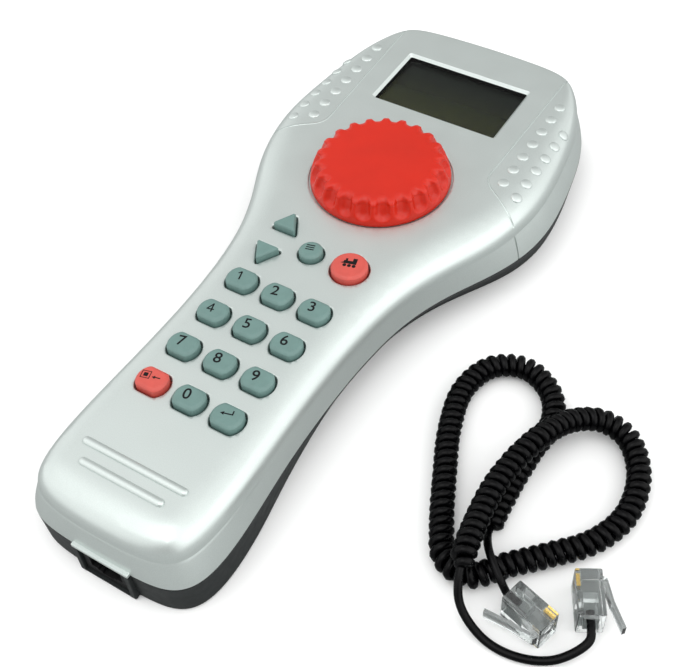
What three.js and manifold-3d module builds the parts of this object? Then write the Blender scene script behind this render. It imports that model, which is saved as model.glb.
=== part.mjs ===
// Hand-held model railway controller with its coiled connecting cord.
//
// The controller lies on its back: X runs across it, Y runs from the cord
// socket towards the display, and Z rises from the resting face at Z = 0.
// All lengths are millimetres.

import * as THREE from "three";
import { mergeVertices } from "three/addons/utils/BufferGeometryUtils.js";
import Module from "manifold-3d";

const wasm = await Module();
wasm.setup();

// ---------------------------------------------------------------- driving dimensions

const FACE_Z = 27; // flat key and display face
const JOINT_Z = 11.6; // joint line between the front and rear shells
const SKIRT_TOP = 20; // foot of the rounded shoulder, top of the leaning skirt
const JOINT_GAP = 0.3; // gap between the two shells
const REAR_EDGE = 1.2; // bevel round the resting face
const WALL = 2.2; // shell wall
const RIM = 3.4; // rear shell wall, thicker so that it carries the tongue
const FACE_WALL = 2.4; // thickness of the flat face
const FIT = 0.3; // clearance between neighbouring pieces
const PART_GAP = 0.1; // parts and the boards they are soldered to

// Control points of one side of the joint line, from the socket end to the
// display end. skirt, shoulder and rear are how far the skirt leans in, how
// wide the rounded shoulder is and how far the rear shell tapers in.
const SIDE_POINTS = [
  { x: 0, y: -105.7, skirt: 1.5, shoulder: 7.5, rear: 0.5 },
  { x: 12, y: -105.5, skirt: 1.6, shoulder: 7.3, rear: 0.5 },
  { x: 21.8, y: -104.4, skirt: 2.6, shoulder: 6.3, rear: 0.5 },
  { x: 27, y: -98.8, skirt: 2.8, shoulder: 6.2, rear: 0.5 },
  { x: 28.2, y: -88, skirt: 2, shoulder: 7.3, rear: 0.5 },
  { x: 27.2, y: -74, skirt: 1, shoulder: 7.5, rear: 0.8 },
  { x: 25.8, y: -60, skirt: 0.3, shoulder: 7.5, rear: 2 },
  { x: 25.3, y: -45, skirt: 0.3, shoulder: 7.5, rear: 3.5 },
  { x: 25.4, y: -30, skirt: 0.3, shoulder: 7.5, rear: 4.8 },
  { x: 26.5, y: -15, skirt: 0.3, shoulder: 7.5, rear: 5.5 },
  { x: 29, y: -1, skirt: 0.3, shoulder: 7.5, rear: 6 },
  { x: 34.2, y: 12, skirt: 0.5, shoulder: 7.7, rear: 6.5 },
  { x: 41.2, y: 24, skirt: 1.2, shoulder: 7.8, rear: 6.2 },
  { x: 46.6, y: 36.5, skirt: 2.8, shoulder: 7.8, rear: 4.6 },
  { x: 48.4, y: 49.5, skirt: 3, shoulder: 7.8, rear: 3 },
  { x: 47.2, y: 62.5, skirt: 2.8, shoulder: 7.6, rear: 2 },
  { x: 44.9, y: 76, skirt: 2.4, shoulder: 7.2, rear: 1.6 },
  { x: 42, y: 88, skirt: 2.2, shoulder: 6, rear: 1.6 },
  { x: 37.2, y: 97.5, skirt: 2, shoulder: 4.6, rear: 1.6 },
  { x: 32, y: 104.3, skirt: 2, shoulder: 3.4, rear: 1.6 },
  { x: 24, y: 106.6, skirt: 2, shoulder: 3, rear: 1.6 },
  { x: 12, y: 107.2, skirt: 2, shoulder: 3, rear: 1.6 },
  { x: 0, y: 107.5, skirt: 2, shoulder: 3, rear: 1.6 },
];
const OUTLINE_STEPS = 2; // points per control span
const SHOULDER_ANGLES = [12, 40, 67, 90]; // degrees, from its foot to the flat face

const KEY_PITCH_X = 12;
const KEY_PITCH_Y = 13.46;
const ZERO_KEY_Y = -63.4;
const KEY_TOP_Z = 29.1;
const KEY_TRAVEL = 1;
const KEY_CHAMFER = 0.6;
const KEY_CLEARANCE = 0.35; // gap round a key in its hole
const KEY_FLANGE = 1.2; // how far the retaining flange reaches under the face
const ROUND_KEY_Y = -4.7;
const ARROW_KEY_X = -12.7;
const ARROW_KEY_STEP = 6; // arrow keys above and below the round keys' line
const ARROW_KEY_REACH = 4.1; // from the middle of an arrow key to its tip

const KNOB_Y = 32.4;
const KNOB_RADIUS = 21.15;
const KNOB_TOP_RADIUS = 17.6;
const KNOB_TOP_Z = 34.3;
const KNOB_LOBES = 22;
const LOBE_DEPTH = 0.75;
const WELL_DEPTH = 0.8; // recess that the knob's skirt turns in
const SHAFT_RADIUS = 2.6;

const DISPLAY_Y = 76.4;
const DISPLAY_WIDTH = 43.8;
const DISPLAY_HEIGHT = 25.2;
const DISPLAY_DEPTH = 0.9; // from the face down to the window
const BEZEL_SLOPE = 0.7; // how far each wall of the display opening leans in
const WINDOW_MARGIN = 2.4; // window beyond the opening on every side
const STAKE_MARGIN = 3.4; // display stakes beyond the opening in both directions
const BOARD_Z = 14.4; // underside of the main board
const BOARD_THICKNESS = 1.6;
const BOARD_TOP_Z = BOARD_Z + BOARD_THICKNESS;
const DISPLAY_BOARD_Z = 17.4;
const DISPLAY_BOARD_THICKNESS = 1.2;

const SOCKET_X = 1.2;
const SOCKET_WIDTH = 14.7;
const SOCKET_FLOOR_Z = 1.2;
const SOCKET_END_Y = -105.2; // middle of the lip and cheeks that frame the socket
const CHEEK_WIDTH = 1.7;
const CHEEK_DEPTH = 2.4;

const HOUSING_SCREWS = [
  { x: 18, y: -90 },
  { x: 19, y: 12 },
  { x: 31, y: 84 },
];
const BOARD_SCREWS = [
  { x: 15.5, y: -80 },
  { x: 20.5, y: 46 },
];

const COIL_RADIUS = 3.4;
const TAIL_RADIUS = 1.1;
const PLUG_WIDTH = 9.6;
const PLUG_THICKNESS = 6.6;
const PLUG_LENGTH = 12.3;

// ---------------------------------------------------------------- solid helpers

function toSolid(geometry) {
  geometry.deleteAttribute("normal");
  geometry.deleteAttribute("uv");
  const merged = mergeVertices(geometry, 1e-4);
  const vertProperties = new Float32Array(merged.attributes.position.array);
  const triVerts = new Uint32Array(merged.index.array);
  return new wasm.Manifold(new wasm.Mesh({ numProp: 3, vertProperties, triVerts }));
}

function toGeometry(solid) {
  const mesh = solid.getMesh();
  const geometry = new THREE.BufferGeometry();
  geometry.setAttribute("position", new THREE.BufferAttribute(new Float32Array(mesh.vertProperties), 3));
  geometry.setIndex(new THREE.BufferAttribute(new Uint32Array(mesh.triVerts), 1));
  geometry.computeVertexNormals();
  return geometry;
}

function joined(solids) {
  return solids.reduce((whole, solid) => whole.add(solid));
}

function cut(solid, tools) {
  return tools.reduce((rest, tool) => rest.subtract(tool), solid);
}

// A closed solid through rings of points: all rings have the same number of
// points, run anticlockwise seen from the last ring, and both ends are capped.
function ringSolid(rings) {
  const count = rings[0].length;
  const points = rings.flat();
  const faces = [];
  for (let level = 0; level < rings.length - 1; level += 1) {
    for (let i = 0; i < count; i += 1) {
      const a = level * count + i;
      const b = level * count + ((i + 1) % count);
      faces.push(a, b, b + count, a, b + count, a + count);
    }
  }
  const last = (rings.length - 1) * count;
  for (const [a, b, c] of capFaces(rings[0])) {
    faces.push(a, c, b);
  }
  for (const [a, b, c] of capFaces(rings.at(-1))) {
    faces.push(last + a, last + b, last + c);
  }
  const geometry = new THREE.BufferGeometry().setFromPoints(points);
  geometry.setIndex(faces);
  return toSolid(geometry);
}

// Triangles of a flat ring, wound like the ring itself.
function capFaces(ring) {
  const normal = new THREE.Vector3();
  ring.forEach((point, i) => normal.add(point.clone().cross(ring[(i + 1) % ring.length])));
  const turn = new THREE.Quaternion().setFromUnitVectors(normal.normalize(), new THREE.Vector3(0, 0, 1));
  const flat = ring.map((point) => {
    const turned = point.clone().applyQuaternion(turn);
    return new THREE.Vector2(turned.x, turned.y);
  });
  return THREE.ShapeUtils.triangulateShape(flat, []);
}

function level(outline, z) {
  return outline.map((point) => new THREE.Vector3(point.x, point.y, z));
}

// A solid of stacked outlines, given as [outline, height] pairs from the bottom up.
function stack(pairs) {
  return ringSolid(pairs.map(([outline, z]) => level(outline, z)));
}

function prism(outline, bottom, top) {
  return stack([[outline, bottom], [outline, top]]);
}

function rectangle(width, depth, x = 0, y = 0) {
  return [[-1, -1], [1, -1], [1, 1], [-1, 1]].map(([sx, sy]) => ({
    x: x + (sx * width) / 2,
    y: y + (sy * depth) / 2,
  }));
}

function circle(radius, x = 0, y = 0, sides = 24) {
  return Array.from({ length: sides }, (_, i) => {
    const angle = (2 * Math.PI * i) / sides;
    return { x: x + radius * Math.cos(angle), y: y + radius * Math.sin(angle) };
  });
}

function box(width, depth, bottom, top, x = 0, y = 0) {
  return prism(rectangle(width, depth, x, y), bottom, top);
}

function cylinder(radius, bottom, top, x = 0, y = 0, sides = 24) {
  return prism(circle(radius, x, y, sides), bottom, top);
}

// A closed tube of varying radius along a curve, built from its own frames.
function tube(curve, steps, sides, radiusAt) {
  const frames = curve.computeFrenetFrames(steps, false);
  const rings = [];
  for (let i = 0; i <= steps; i += 1) {
    const centre = curve.getPointAt(i / steps);
    const radius = radiusAt(i / steps);
    rings.push(circle(radius, 0, 0, sides).map((point) => centre.clone()
      .addScaledVector(frames.normals[i], point.x)
      .addScaledVector(frames.binormals[i], point.y)));
  }
  return ringSolid(rings);
}

// ---------------------------------------------------------------- housing outline

// Closed uniform cubic B-spline through records of numbers.
function closedSpline(controls, steps) {
  const count = controls.length;
  const fields = Object.keys(controls[0]);
  const points = [];
  for (let span = 0; span < count; span += 1) {
    const [a, b, c, d] = [0, 1, 2, 3].map((i) => controls[(span + i) % count]);
    for (let step = 0; step < steps; step += 1) {
      const t = step / steps;
      const weights = [
        (1 - t) ** 3,
        3 * t ** 3 - 6 * t ** 2 + 4,
        -3 * t ** 3 + 3 * t ** 2 + 3 * t + 1,
        t ** 3,
      ];
      const blend = (field) => [a, b, c, d].reduce((sum, p, i) => sum + (p[field] * weights[i]) / 6, 0);
      points.push(Object.fromEntries(fields.map((field) => [field, blend(field)])));
    }
  }
  return points;
}

// The joint line, anticlockwise, with the inward direction at every point.
function jointLine() {
  const mirrored = SIDE_POINTS.slice(1, -1).reverse().map((point) => ({ ...point, x: -point.x }));
  const points = closedSpline([...SIDE_POINTS, ...mirrored], OUTLINE_STEPS);
  return points.map((point, i) => {
    const before = points.at(i - 1);
    const after = points[(i + 1) % points.length];
    const along = new THREE.Vector2(after.x - before.x, after.y - before.y).normalize();
    return { ...point, inX: -along.y, inY: along.x };
  });
}

const JOINT_LINE = jointLine();

// The joint line moved inwards by a distance worked out at each point.
function inset(distanceAt) {
  return JOINT_LINE.map((point) => {
    const distance = distanceAt(point);
    return { x: point.x + point.inX * distance, y: point.y + point.inY * distance };
  });
}

// Inward distance and height of the shoulder at an angle from its foot.
function shoulderStep(point, angle) {
  const turn = THREE.MathUtils.degToRad(angle);
  return {
    inward: point.skirt + point.shoulder * (1 - Math.cos(turn)),
    z: FACE_Z - (FACE_Z - SKIRT_TOP) * (1 - Math.sin(turn)),
  };
}

// Height of the outer surface of the front shell over a point of its face.
function faceHeight(x, y) {
  const distanceTo = (point) => Math.hypot(point.x - x, point.y - y);
  const nearest = JOINT_LINE.reduce((best, point) => (distanceTo(point) < distanceTo(best) ? point : best));
  const across = (distanceTo(nearest) - nearest.skirt) / nearest.shoulder;
  if (across >= 1) {
    return FACE_Z;
  }
  return FACE_Z - (FACE_Z - SKIRT_TOP) * (1 - Math.sqrt(1 - (1 - across) ** 2));
}

// ---------------------------------------------------------------- keys

// Outline of a round key whose two long sides are flattened.
function flattenedRound(radius, halfDepth, x, y, sides = 16) {
  return circle(radius, 0, 0, sides).map((point) => ({
    x: x + point.x,
    y: y + THREE.MathUtils.clamp(point.y, -halfDepth, halfDepth),
  }));
}

// Outline of a triangle with rounded corners; up is 1 or -1.
function roundedTriangle(size, x, y, up) {
  const cornerRadius = 0.7;
  const points = [];
  for (let corner = 0; corner < 3; corner += 1) {
    const facing = Math.PI * (0.5 * up + (2 * corner) / 3);
    for (const swing of [-60, 0, 60]) {
      const angle = facing + THREE.MathUtils.degToRad(swing);
      points.push({
        x: x + (size - cornerRadius) * Math.cos(facing) + cornerRadius * Math.cos(angle),
        y: y + (size - cornerRadius) * Math.sin(facing) + cornerRadius * Math.sin(angle),
      });
    }
  }
  return points;
}

// Each key gives its outline grown by a margin.
function ovalKey(column, row) {
  const x = column * KEY_PITCH_X;
  const y = ZERO_KEY_Y + row * KEY_PITCH_Y;
  return { x, y, outline: (grow) => flattenedRound(4.6 + grow, 3.65 + grow, x, y) };
}

function roundKey(radius, x) {
  return { x, y: ROUND_KEY_Y, outline: (grow) => circle(radius + grow, x, ROUND_KEY_Y, 18) };
}

function arrowKey(up) {
  const y = ROUND_KEY_Y + up * ARROW_KEY_STEP;
  return { x: ARROW_KEY_X, y, outline: (grow) => roundedTriangle(ARROW_KEY_REACH + 1.6 * grow, ARROW_KEY_X, y, up) };
}

const GREY_KEY = { color: 0x86a29d, roughness: 0.5, metalness: 0 };
const RED_KEY = { color: 0xd9655a, roughness: 0.5, metalness: 0 };

const KEYS = [
  { name: "key_stop", finish: RED_KEY, ...ovalKey(-1, 0) },
  { name: "key_0", finish: GREY_KEY, ...ovalKey(0, 0) },
  { name: "key_enter", finish: GREY_KEY, ...ovalKey(1, 0) },
  ...[7, 8, 9].map((digit, i) => ({ name: `key_${digit}`, finish: GREY_KEY, ...ovalKey(i - 1, 1) })),
  ...[4, 5, 6].map((digit, i) => ({ name: `key_${digit}`, finish: GREY_KEY, ...ovalKey(i - 1, 2) })),
  ...[1, 2, 3].map((digit, i) => ({ name: `key_${digit}`, finish: GREY_KEY, ...ovalKey(i - 1, 3) })),
  { name: "key_menu", finish: GREY_KEY, ...roundKey(3.45, -0.9) },
  { name: "key_engine", finish: RED_KEY, ...roundKey(5.25, 11.9) },
  { name: "key_up", finish: GREY_KEY, ...arrowKey(1) },
  { name: "key_down", finish: GREY_KEY, ...arrowKey(-1) },
];

const FLANGE_TOP_Z = FACE_Z - FACE_WALL - FIT;
const FLANGE_BOTTOM_Z = FLANGE_TOP_Z - 1.6;

function keySolid(key) {
  return stack([
    [key.outline(KEY_FLANGE), FLANGE_BOTTOM_Z],
    [key.outline(KEY_FLANGE), FLANGE_TOP_Z],
    [key.outline(0), FLANGE_TOP_Z],
    [key.outline(0), KEY_TOP_Z - KEY_CHAMFER],
    [key.outline(-KEY_CHAMFER), KEY_TOP_Z],
  ]);
}

// ---------------------------------------------------------------- shells

function bothSides(places) {
  return places.flatMap(({ x, y }) => [{ x, y }, { x: -x, y }]);
}

const UNDERSIDE_Z = FACE_Z - FACE_WALL;
const SHELL_BOSS_Z = 8.8; // where the front and rear screw bosses meet
const HEAD_SEAT_Z = 3.2; // end of the recess that a housing screw's head sits in

function frontOuter() {
  const shoulder = SHOULDER_ANGLES.map((angle) => [
    inset((point) => shoulderStep(point, angle).inward),
    shoulderStep(SIDE_POINTS[0], angle).z,
  ]);
  return stack([
    [inset(() => 0), JOINT_Z + JOINT_GAP / 2],
    [inset((point) => point.skirt), SKIRT_TOP],
    ...shoulder,
  ]);
}

function frontCavity() {
  return stack([
    [inset(() => WALL), JOINT_Z - 1],
    [inset((point) => point.skirt + WALL), SKIRT_TOP],
    [inset((point) => point.skirt + WALL + 0.45 * point.shoulder), UNDERSIDE_Z],
  ]);
}

// Rectangle of the display opening grown by a margin on every side.
function displayRectangle(margin) {
  return rectangle(DISPLAY_WIDTH + 2 * margin, DISPLAY_HEIGHT + 2 * margin, 0, DISPLAY_Y);
}

function displayOpening() {
  return stack([
    [displayRectangle(-BEZEL_SLOPE), UNDERSIDE_Z - 1],
    [displayRectangle(-BEZEL_SLOPE), FACE_Z - DISPLAY_DEPTH],
    [displayRectangle(0), FACE_Z],
    [displayRectangle(0), FACE_Z + 1],
  ]);
}

// Point on the shoulder inwards from a joint line point, with the way out of the surface.
function shoulderPoint(start, angle) {
  const { inward, z } = shoulderStep(start, angle);
  const turn = THREE.MathUtils.degToRad(angle);
  const slope = Math.cos(turn);
  return {
    place: new THREE.Vector3(start.x + start.inX * inward, start.y + start.inY * inward, z),
    out: new THREE.Vector3(-start.inX * slope, -start.inY * slope, Math.sin(turn)),
  };
}

// Grip panel line on one side: along the face, over the shoulder and down the skirt.
function panelLine(side) {
  const start = JOINT_LINE.find((point) => point.x > 0 && point.y > 36);
  const up = new THREE.Vector3(0, 0, 1);
  const onFace = [[29.4, 102], [28.6, 47.5], [30.2, 44.6]].map(([x, y]) => ({
    place: new THREE.Vector3(x, y, FACE_Z),
    out: up,
  }));
  const foot = shoulderPoint(start, 0).out;
  const stops = [
    ...onFace,
    ...[90, 70, 50, 30, 12].map((angle) => shoulderPoint(start, angle)),
    { place: new THREE.Vector3(start.x, start.y, JOINT_Z), out: foot },
  ];
  const radius = 0.35;
  const rings = stops.map(({ place, out }, i) => {
    const next = stops[Math.min(i + 1, stops.length - 1)].place;
    const previous = stops[Math.max(i - 1, 0)].place;
    const along = next.clone().sub(previous).normalize();
    const across = out.clone().cross(along).normalize();
    const rise = along.clone().cross(across);
    return circle(radius, 0, 0, 6).map((corner) => place.clone()
      .addScaledVector(across, corner.x)
      .addScaledVector(rise, corner.y));
  });
  const line = ringSolid(rings);
  return side > 0 ? line : line.mirror([1, 0, 0]);
}

// Grip bumps: shallow domes in an inner row of seven and an outer row of six.
function gripBumps() {
  const pitch = 6.5;
  const foot = 1.8;
  const crown = 1;
  const height = 0.5;
  const rows = [{ x: 33.4, y: 47.3, count: 7 }, { x: 39.3, y: 44.2, count: 6 }];
  const places = rows.flatMap((row) => Array.from({ length: row.count }, (_, i) => ({
    x: row.x,
    y: row.y + i * pitch,
  })));
  return bothSides(places).map(({ x, y }) => {
    const z = faceHeight(x, y);
    return stack([[circle(foot, x, y, 8), z - 1], [circle(crown, x, y, 8), z + height]]);
  });
}

// Two raised ribs with sloping sides across the socket end of the face.
function gripRibs() {
  const width = 2.4;
  const crown = 1.2;
  return [{ length: 32.8, y: -86.2 }, { length: 26.4, y: -91.5 }].map(({ length, y }) => stack([
    [rectangle(length, width, 0, y), FACE_Z - 0.5],
    [rectangle(length, width, 0, y), FACE_Z + 0.2],
    [rectangle(length - crown, crown, 0, y), FACE_Z + 0.9],
  ]));
}

function frontShell() {
  const postTop = FACE_Z - 1;
  const pillars = (places, radius, bottom, top, sides = 8) => (
    places.map(({ x, y }) => cylinder(radius, bottom, top, x, y, sides))
  );
  const bosses = pillars(bothSides(HOUSING_SCREWS), 3.2, SHELL_BOSS_Z + FIT, postTop, 12);
  const pilots = pillars(bothSides(HOUSING_SCREWS), 1.5, 0, 20);
  const posts = pillars(bothSides(BOARD_SCREWS), 2.2, BOARD_TOP_Z + FIT, postTop);
  const postHoles = pillars(bothSides(BOARD_SCREWS), 1, BOARD_Z, 22);
  const stakes = pillars(displayStakes(), 1.1, DISPLAY_BOARD_Z - 1, postTop);
  const lipWidth = SOCKET_WIDTH + 2 * CHEEK_WIDTH;
  const lip = box(lipWidth, CHEEK_DEPTH, JOINT_Z + JOINT_GAP / 2, JOINT_Z + 1.3, SOCKET_X, SOCKET_END_Y);
  const hollow = frontOuter().subtract(frontCavity());
  const body = joined([hollow, ...bosses, ...posts, ...stakes, ...gripBumps(), ...gripRibs(), lip]);
  const keyHoles = KEYS.map((key) => prism(key.outline(KEY_CLEARANCE), UNDERSIDE_Z - 1, FACE_Z + 1));
  return cut(body, [
    ...pilots,
    ...postHoles,
    ...keyHoles,
    displayOpening(),
    prism(displayRectangle(WINDOW_MARGIN + FIT), UNDERSIDE_Z - 0.5, FACE_Z - DISPLAY_DEPTH),
    cylinder(KNOB_RADIUS + 0.5, FACE_Z - WELL_DEPTH, FACE_Z + 1, 0, KNOB_Y, 48),
    cylinder(3.9, UNDERSIDE_Z - 1, FACE_Z, 0, KNOB_Y),
    panelLine(1),
    panelLine(-1),
  ]);
}

function rearShell() {
  const jointTop = JOINT_Z - JOINT_GAP / 2;
  const tongueTop = JOINT_Z + 1.4;
  const lean = (tongueTop - JOINT_Z) / (SKIRT_TOP - JOINT_Z);
  const floorTaper = (jointTop - WALL) / (jointTop - REAR_EDGE);
  const outer = stack([
    [inset((point) => point.rear + REAR_EDGE), 0],
    [inset((point) => point.rear), REAR_EDGE],
    [inset(() => 0), jointTop],
  ]);
  const tongue = stack([
    [inset(() => WALL + FIT), jointTop - 1],
    [inset((point) => WALL + FIT + lean * point.skirt), tongueTop],
  ]);
  const cavity = stack([
    [inset((point) => RIM + floorTaper * point.rear), WALL],
    [inset(() => RIM), jointTop],
    [inset((point) => RIM + lean * point.skirt), tongueTop + 1],
  ]);
  const cheekX = (SOCKET_WIDTH + CHEEK_WIDTH) / 2;
  const cheeks = [-cheekX, cheekX].map((x) => (
    box(CHEEK_WIDTH, CHEEK_DEPTH, 0.5, jointTop, SOCKET_X + x, SOCKET_END_Y)
  ));
  const sill = box(SOCKET_WIDTH + 1, CHEEK_DEPTH, 0.5, SOCKET_FLOOR_Z, SOCKET_X, SOCKET_END_Y);
  const socketLength = 12;
  const socket = box(SOCKET_WIDTH, socketLength, SOCKET_FLOOR_Z, tongueTop + 1, SOCKET_X, SOCKET_END_Y + 1.2);
  const places = bothSides(HOUSING_SCREWS);
  const bosses = places.map(({ x, y }) => cylinder(4.3, 1, SHELL_BOSS_Z, x, y, 12));
  return cut(joined([outer.add(tongue).subtract(cavity), ...bosses, ...cheeks, sill]), [
    ...places.map(({ x, y }) => cylinder(3.1, -1, HEAD_SEAT_Z, x, y, 12)),
    ...places.map(({ x, y }) => cylinder(1.7, 0, SHELL_BOSS_Z + 1, x, y, 8)),
    socket,
  ]);
}

// ---------------------------------------------------------------- display

function displayStakes() {
  const x = DISPLAY_WIDTH / 2 + STAKE_MARGIN;
  const y = DISPLAY_HEIGHT / 2 + STAKE_MARGIN;
  return bothSides([{ x, y: DISPLAY_Y - y }, { x, y: DISPLAY_Y + y }]);
}

const WINDOW_TOP_Z = FACE_Z - DISPLAY_DEPTH - 0.1;
const WINDOW_THICKNESS = 1.2;
const PANEL_MARGIN = 0.5; // glass cell beyond the opening on every side
const PANEL_TOP_Z = 23.9;
const PANEL_BOTTOM_Z = 21.5;
const DISPLAY_BOARD_TOP_Z = DISPLAY_BOARD_Z + DISPLAY_BOARD_THICKNESS;

function displayWindow() {
  return prism(displayRectangle(WINDOW_MARGIN), WINDOW_TOP_Z - WINDOW_THICKNESS, WINDOW_TOP_Z);
}

function displayPanel() {
  return prism(displayRectangle(PANEL_MARGIN), PANEL_BOTTOM_Z, PANEL_TOP_Z);
}

// Sheet metal cap over the glass cell, open over the part that is read.
function displayFrame() {
  const bottom = DISPLAY_BOARD_TOP_Z + 0.1;
  const top = PANEL_TOP_Z + 0.6;
  return cut(prism(displayRectangle(PANEL_MARGIN + 1.1), bottom, top), [
    prism(displayRectangle(PANEL_MARGIN + FIT), bottom - 1, PANEL_TOP_Z + FIT),
    prism(displayRectangle(-BEZEL_SLOPE), bottom - 1, top + 1),
  ]);
}

function backlight() {
  return prism(displayRectangle(PANEL_MARGIN), DISPLAY_BOARD_TOP_Z + 0.2, PANEL_BOTTOM_Z - 0.2);
}

function displayBoard() {
  const holes = displayStakes().map(({ x, y }) => (
    cylinder(1.4, DISPLAY_BOARD_Z - 1, DISPLAY_BOARD_TOP_Z + 1, x, y, 8)
  ));
  return cut(prism(displayRectangle(STAKE_MARGIN + 2), DISPLAY_BOARD_Z, DISPLAY_BOARD_TOP_Z), holes);
}

// Flat cable from the top of the main board up to the underside of the display board.
function ribbonCable() {
  const thickness = 0.2;
  const halfWidth = 8;
  const low = BOARD_TOP_Z + 0.15;
  const high = DISPLAY_BOARD_Z - 0.15 - thickness;
  const path = [[46, low], [50, low], [54, low + 0.1], [58, high - 0.1], [61, high], [65, high]];
  const loop = [
    ...path.map(([y, z]) => new THREE.Vector2(y, z)),
    ...path.map(([y, z]) => new THREE.Vector2(y, z + thickness)).reverse(),
  ];
  const ringAt = (x) => loop.map((point) => new THREE.Vector3(x, point.x, point.y));
  return ringSolid([ringAt(-halfWidth), ringAt(halfWidth)]);
}

// ---------------------------------------------------------------- speed knob

// Scalloped ring: lobes stand out from the radius by the given depth.
function lobedCircle(radius, depth) {
  const perLobe = 4;
  const count = KNOB_LOBES * perLobe;
  return Array.from({ length: count }, (_, i) => {
    const angle = (2 * Math.PI * i) / count;
    const reach = radius - depth * (0.5 - 0.5 * Math.cos(KNOB_LOBES * angle));
    return { x: reach * Math.cos(angle), y: KNOB_Y + reach * Math.sin(angle) };
  });
}

const KNOB_BOTTOM_Z = FACE_Z - WELL_DEPTH + 0.4;
const KNOB_BOSS_Z = 29.3;
const SHAFT_TOP_Z = 32;

// Shaft outline with the flat that keys the knob to it.
function shaftOutline(radius) {
  const flat = radius * 0.6;
  return circle(radius, 0, KNOB_Y, 20).map((point) => ({ x: Math.min(point.x, flat), y: point.y }));
}

function speedKnob() {
  const outer = stack([
    [lobedCircle(KNOB_RADIUS, 0), KNOB_BOTTOM_Z],
    [lobedCircle(KNOB_RADIUS - 0.4, 0), KNOB_BOTTOM_Z + 1.8],
    [lobedCircle(KNOB_RADIUS - 1.2, LOBE_DEPTH * 1.6), KNOB_BOTTOM_Z + 3.6],
    [lobedCircle(KNOB_RADIUS - 1.9, LOBE_DEPTH * 1.6), KNOB_TOP_Z - 1],
    [lobedCircle(KNOB_RADIUS - 2.6, LOBE_DEPTH), KNOB_TOP_Z - 0.25],
    [lobedCircle(KNOB_TOP_RADIUS, 0), KNOB_TOP_Z],
  ]);
  const hollow = cylinder(16.4, KNOB_BOTTOM_Z - 1, KNOB_TOP_Z - 2.4, 0, KNOB_Y, 32);
  const boss = cylinder(4.8, KNOB_BOSS_Z, KNOB_TOP_Z - 1, 0, KNOB_Y);
  const bore = prism(shaftOutline(SHAFT_RADIUS + 0.2), KNOB_BOSS_Z - 1, SHAFT_TOP_Z + FIT);
  return outer.subtract(hollow).add(boss).subtract(bore);
}

function knobShaft() {
  return stack([
    [circle(SHAFT_RADIUS, 0, KNOB_Y, 20), 18.4],
    [circle(SHAFT_RADIUS, 0, KNOB_Y, 20), KNOB_BOSS_Z - FIT],
    [shaftOutline(SHAFT_RADIUS), KNOB_BOSS_Z - FIT],
    [shaftOutline(SHAFT_RADIUS), SHAFT_TOP_Z],
  ]);
}

function encoderBody() {
  const bottom = BOARD_TOP_Z + PART_GAP;
  const body = box(14, 13, bottom, UNDERSIDE_Z - FIT, 0, KNOB_Y);
  const bushing = cylinder(3.6, bottom, 28.9, 0, KNOB_Y);
  const bore = cylinder(SHAFT_RADIUS + 0.2, 18, 30, 0, KNOB_Y, 20);
  return body.add(bushing).subtract(bore);
}

function encoderWasher() {
  const floor = FACE_Z - WELL_DEPTH + 0.05;
  return cylinder(6, floor, floor + 0.4, 0, KNOB_Y).subtract(cylinder(3.8, 20, 30, 0, KNOB_Y));
}

function encoderNut() {
  const seat = FACE_Z - WELL_DEPTH + 0.5;
  return cylinder(5.8, seat, seat + 1.8, 0, KNOB_Y, 6).subtract(cylinder(3.75, 20, 30, 0, KNOB_Y));
}

// ---------------------------------------------------------------- electronics

function mainBoard() {
  const strips = [
    { half: 13, from: -101, to: -84 },
    { half: 18, from: -84.5, to: 6 },
    { half: 14, from: 5.5, to: 19 },
    { half: 25, from: 18.5, to: 51 },
  ];
  const plates = strips.map(({ half, from, to }) => (
    box(2 * half, to - from, BOARD_Z, BOARD_TOP_Z, 0, (from + to) / 2)
  ));
  const holes = bothSides(BOARD_SCREWS).map(({ x, y }) => (
    cylinder(1.3, BOARD_Z - 1, BOARD_TOP_Z + 1, x, y, 10)
  ));
  return cut(joined(plates), holes);
}

// A part on the underside of the main board: an outline, with a chamfer round its free end.
function underBoard(outlineAt, height, chamfer) {
  const top = BOARD_Z - PART_GAP;
  return stack([
    [outlineAt(-chamfer), top - height],
    [outlineAt(0), top - height + chamfer],
    [outlineAt(0), top],
  ]);
}

function chip(width, depth, x, y) {
  return underBoard((grow) => rectangle(width + 2 * grow, depth + 2 * grow, x, y), 1.6, 0.4);
}

function supplyCapacitor() {
  return underBoard((grow) => circle(3.15 + grow, -12, -66, 16), 6.6, 0.35);
}

function crystal() {
  return underBoard((grow) => flattenedRound(5.2 + grow, 2.2 + grow, 9, 18), 3.4, 0.2);
}

// Silicone mat on the board with one collapsing dome under each key.
function keypadMat() {
  const bottom = BOARD_TOP_Z + PART_GAP;
  const sheetTop = bottom + 0.9;
  const domeTop = FLANGE_BOTTOM_Z - KEY_TRAVEL - 0.4;
  const sheet = box(34.6, 66, bottom, sheetTop, 0, -38.5).add(box(27, 10, bottom, sheetTop, 0, -2));
  const dome = ({ x, y }) => stack([
    [circle(3, x, y, 8), sheetTop - 0.4],
    [circle(2.8, x, y, 8), sheetTop],
    [circle(1.7, x, y, 8), domeTop],
  ]);
  return joined([sheet, ...KEYS.map(dome)]);
}

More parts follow.
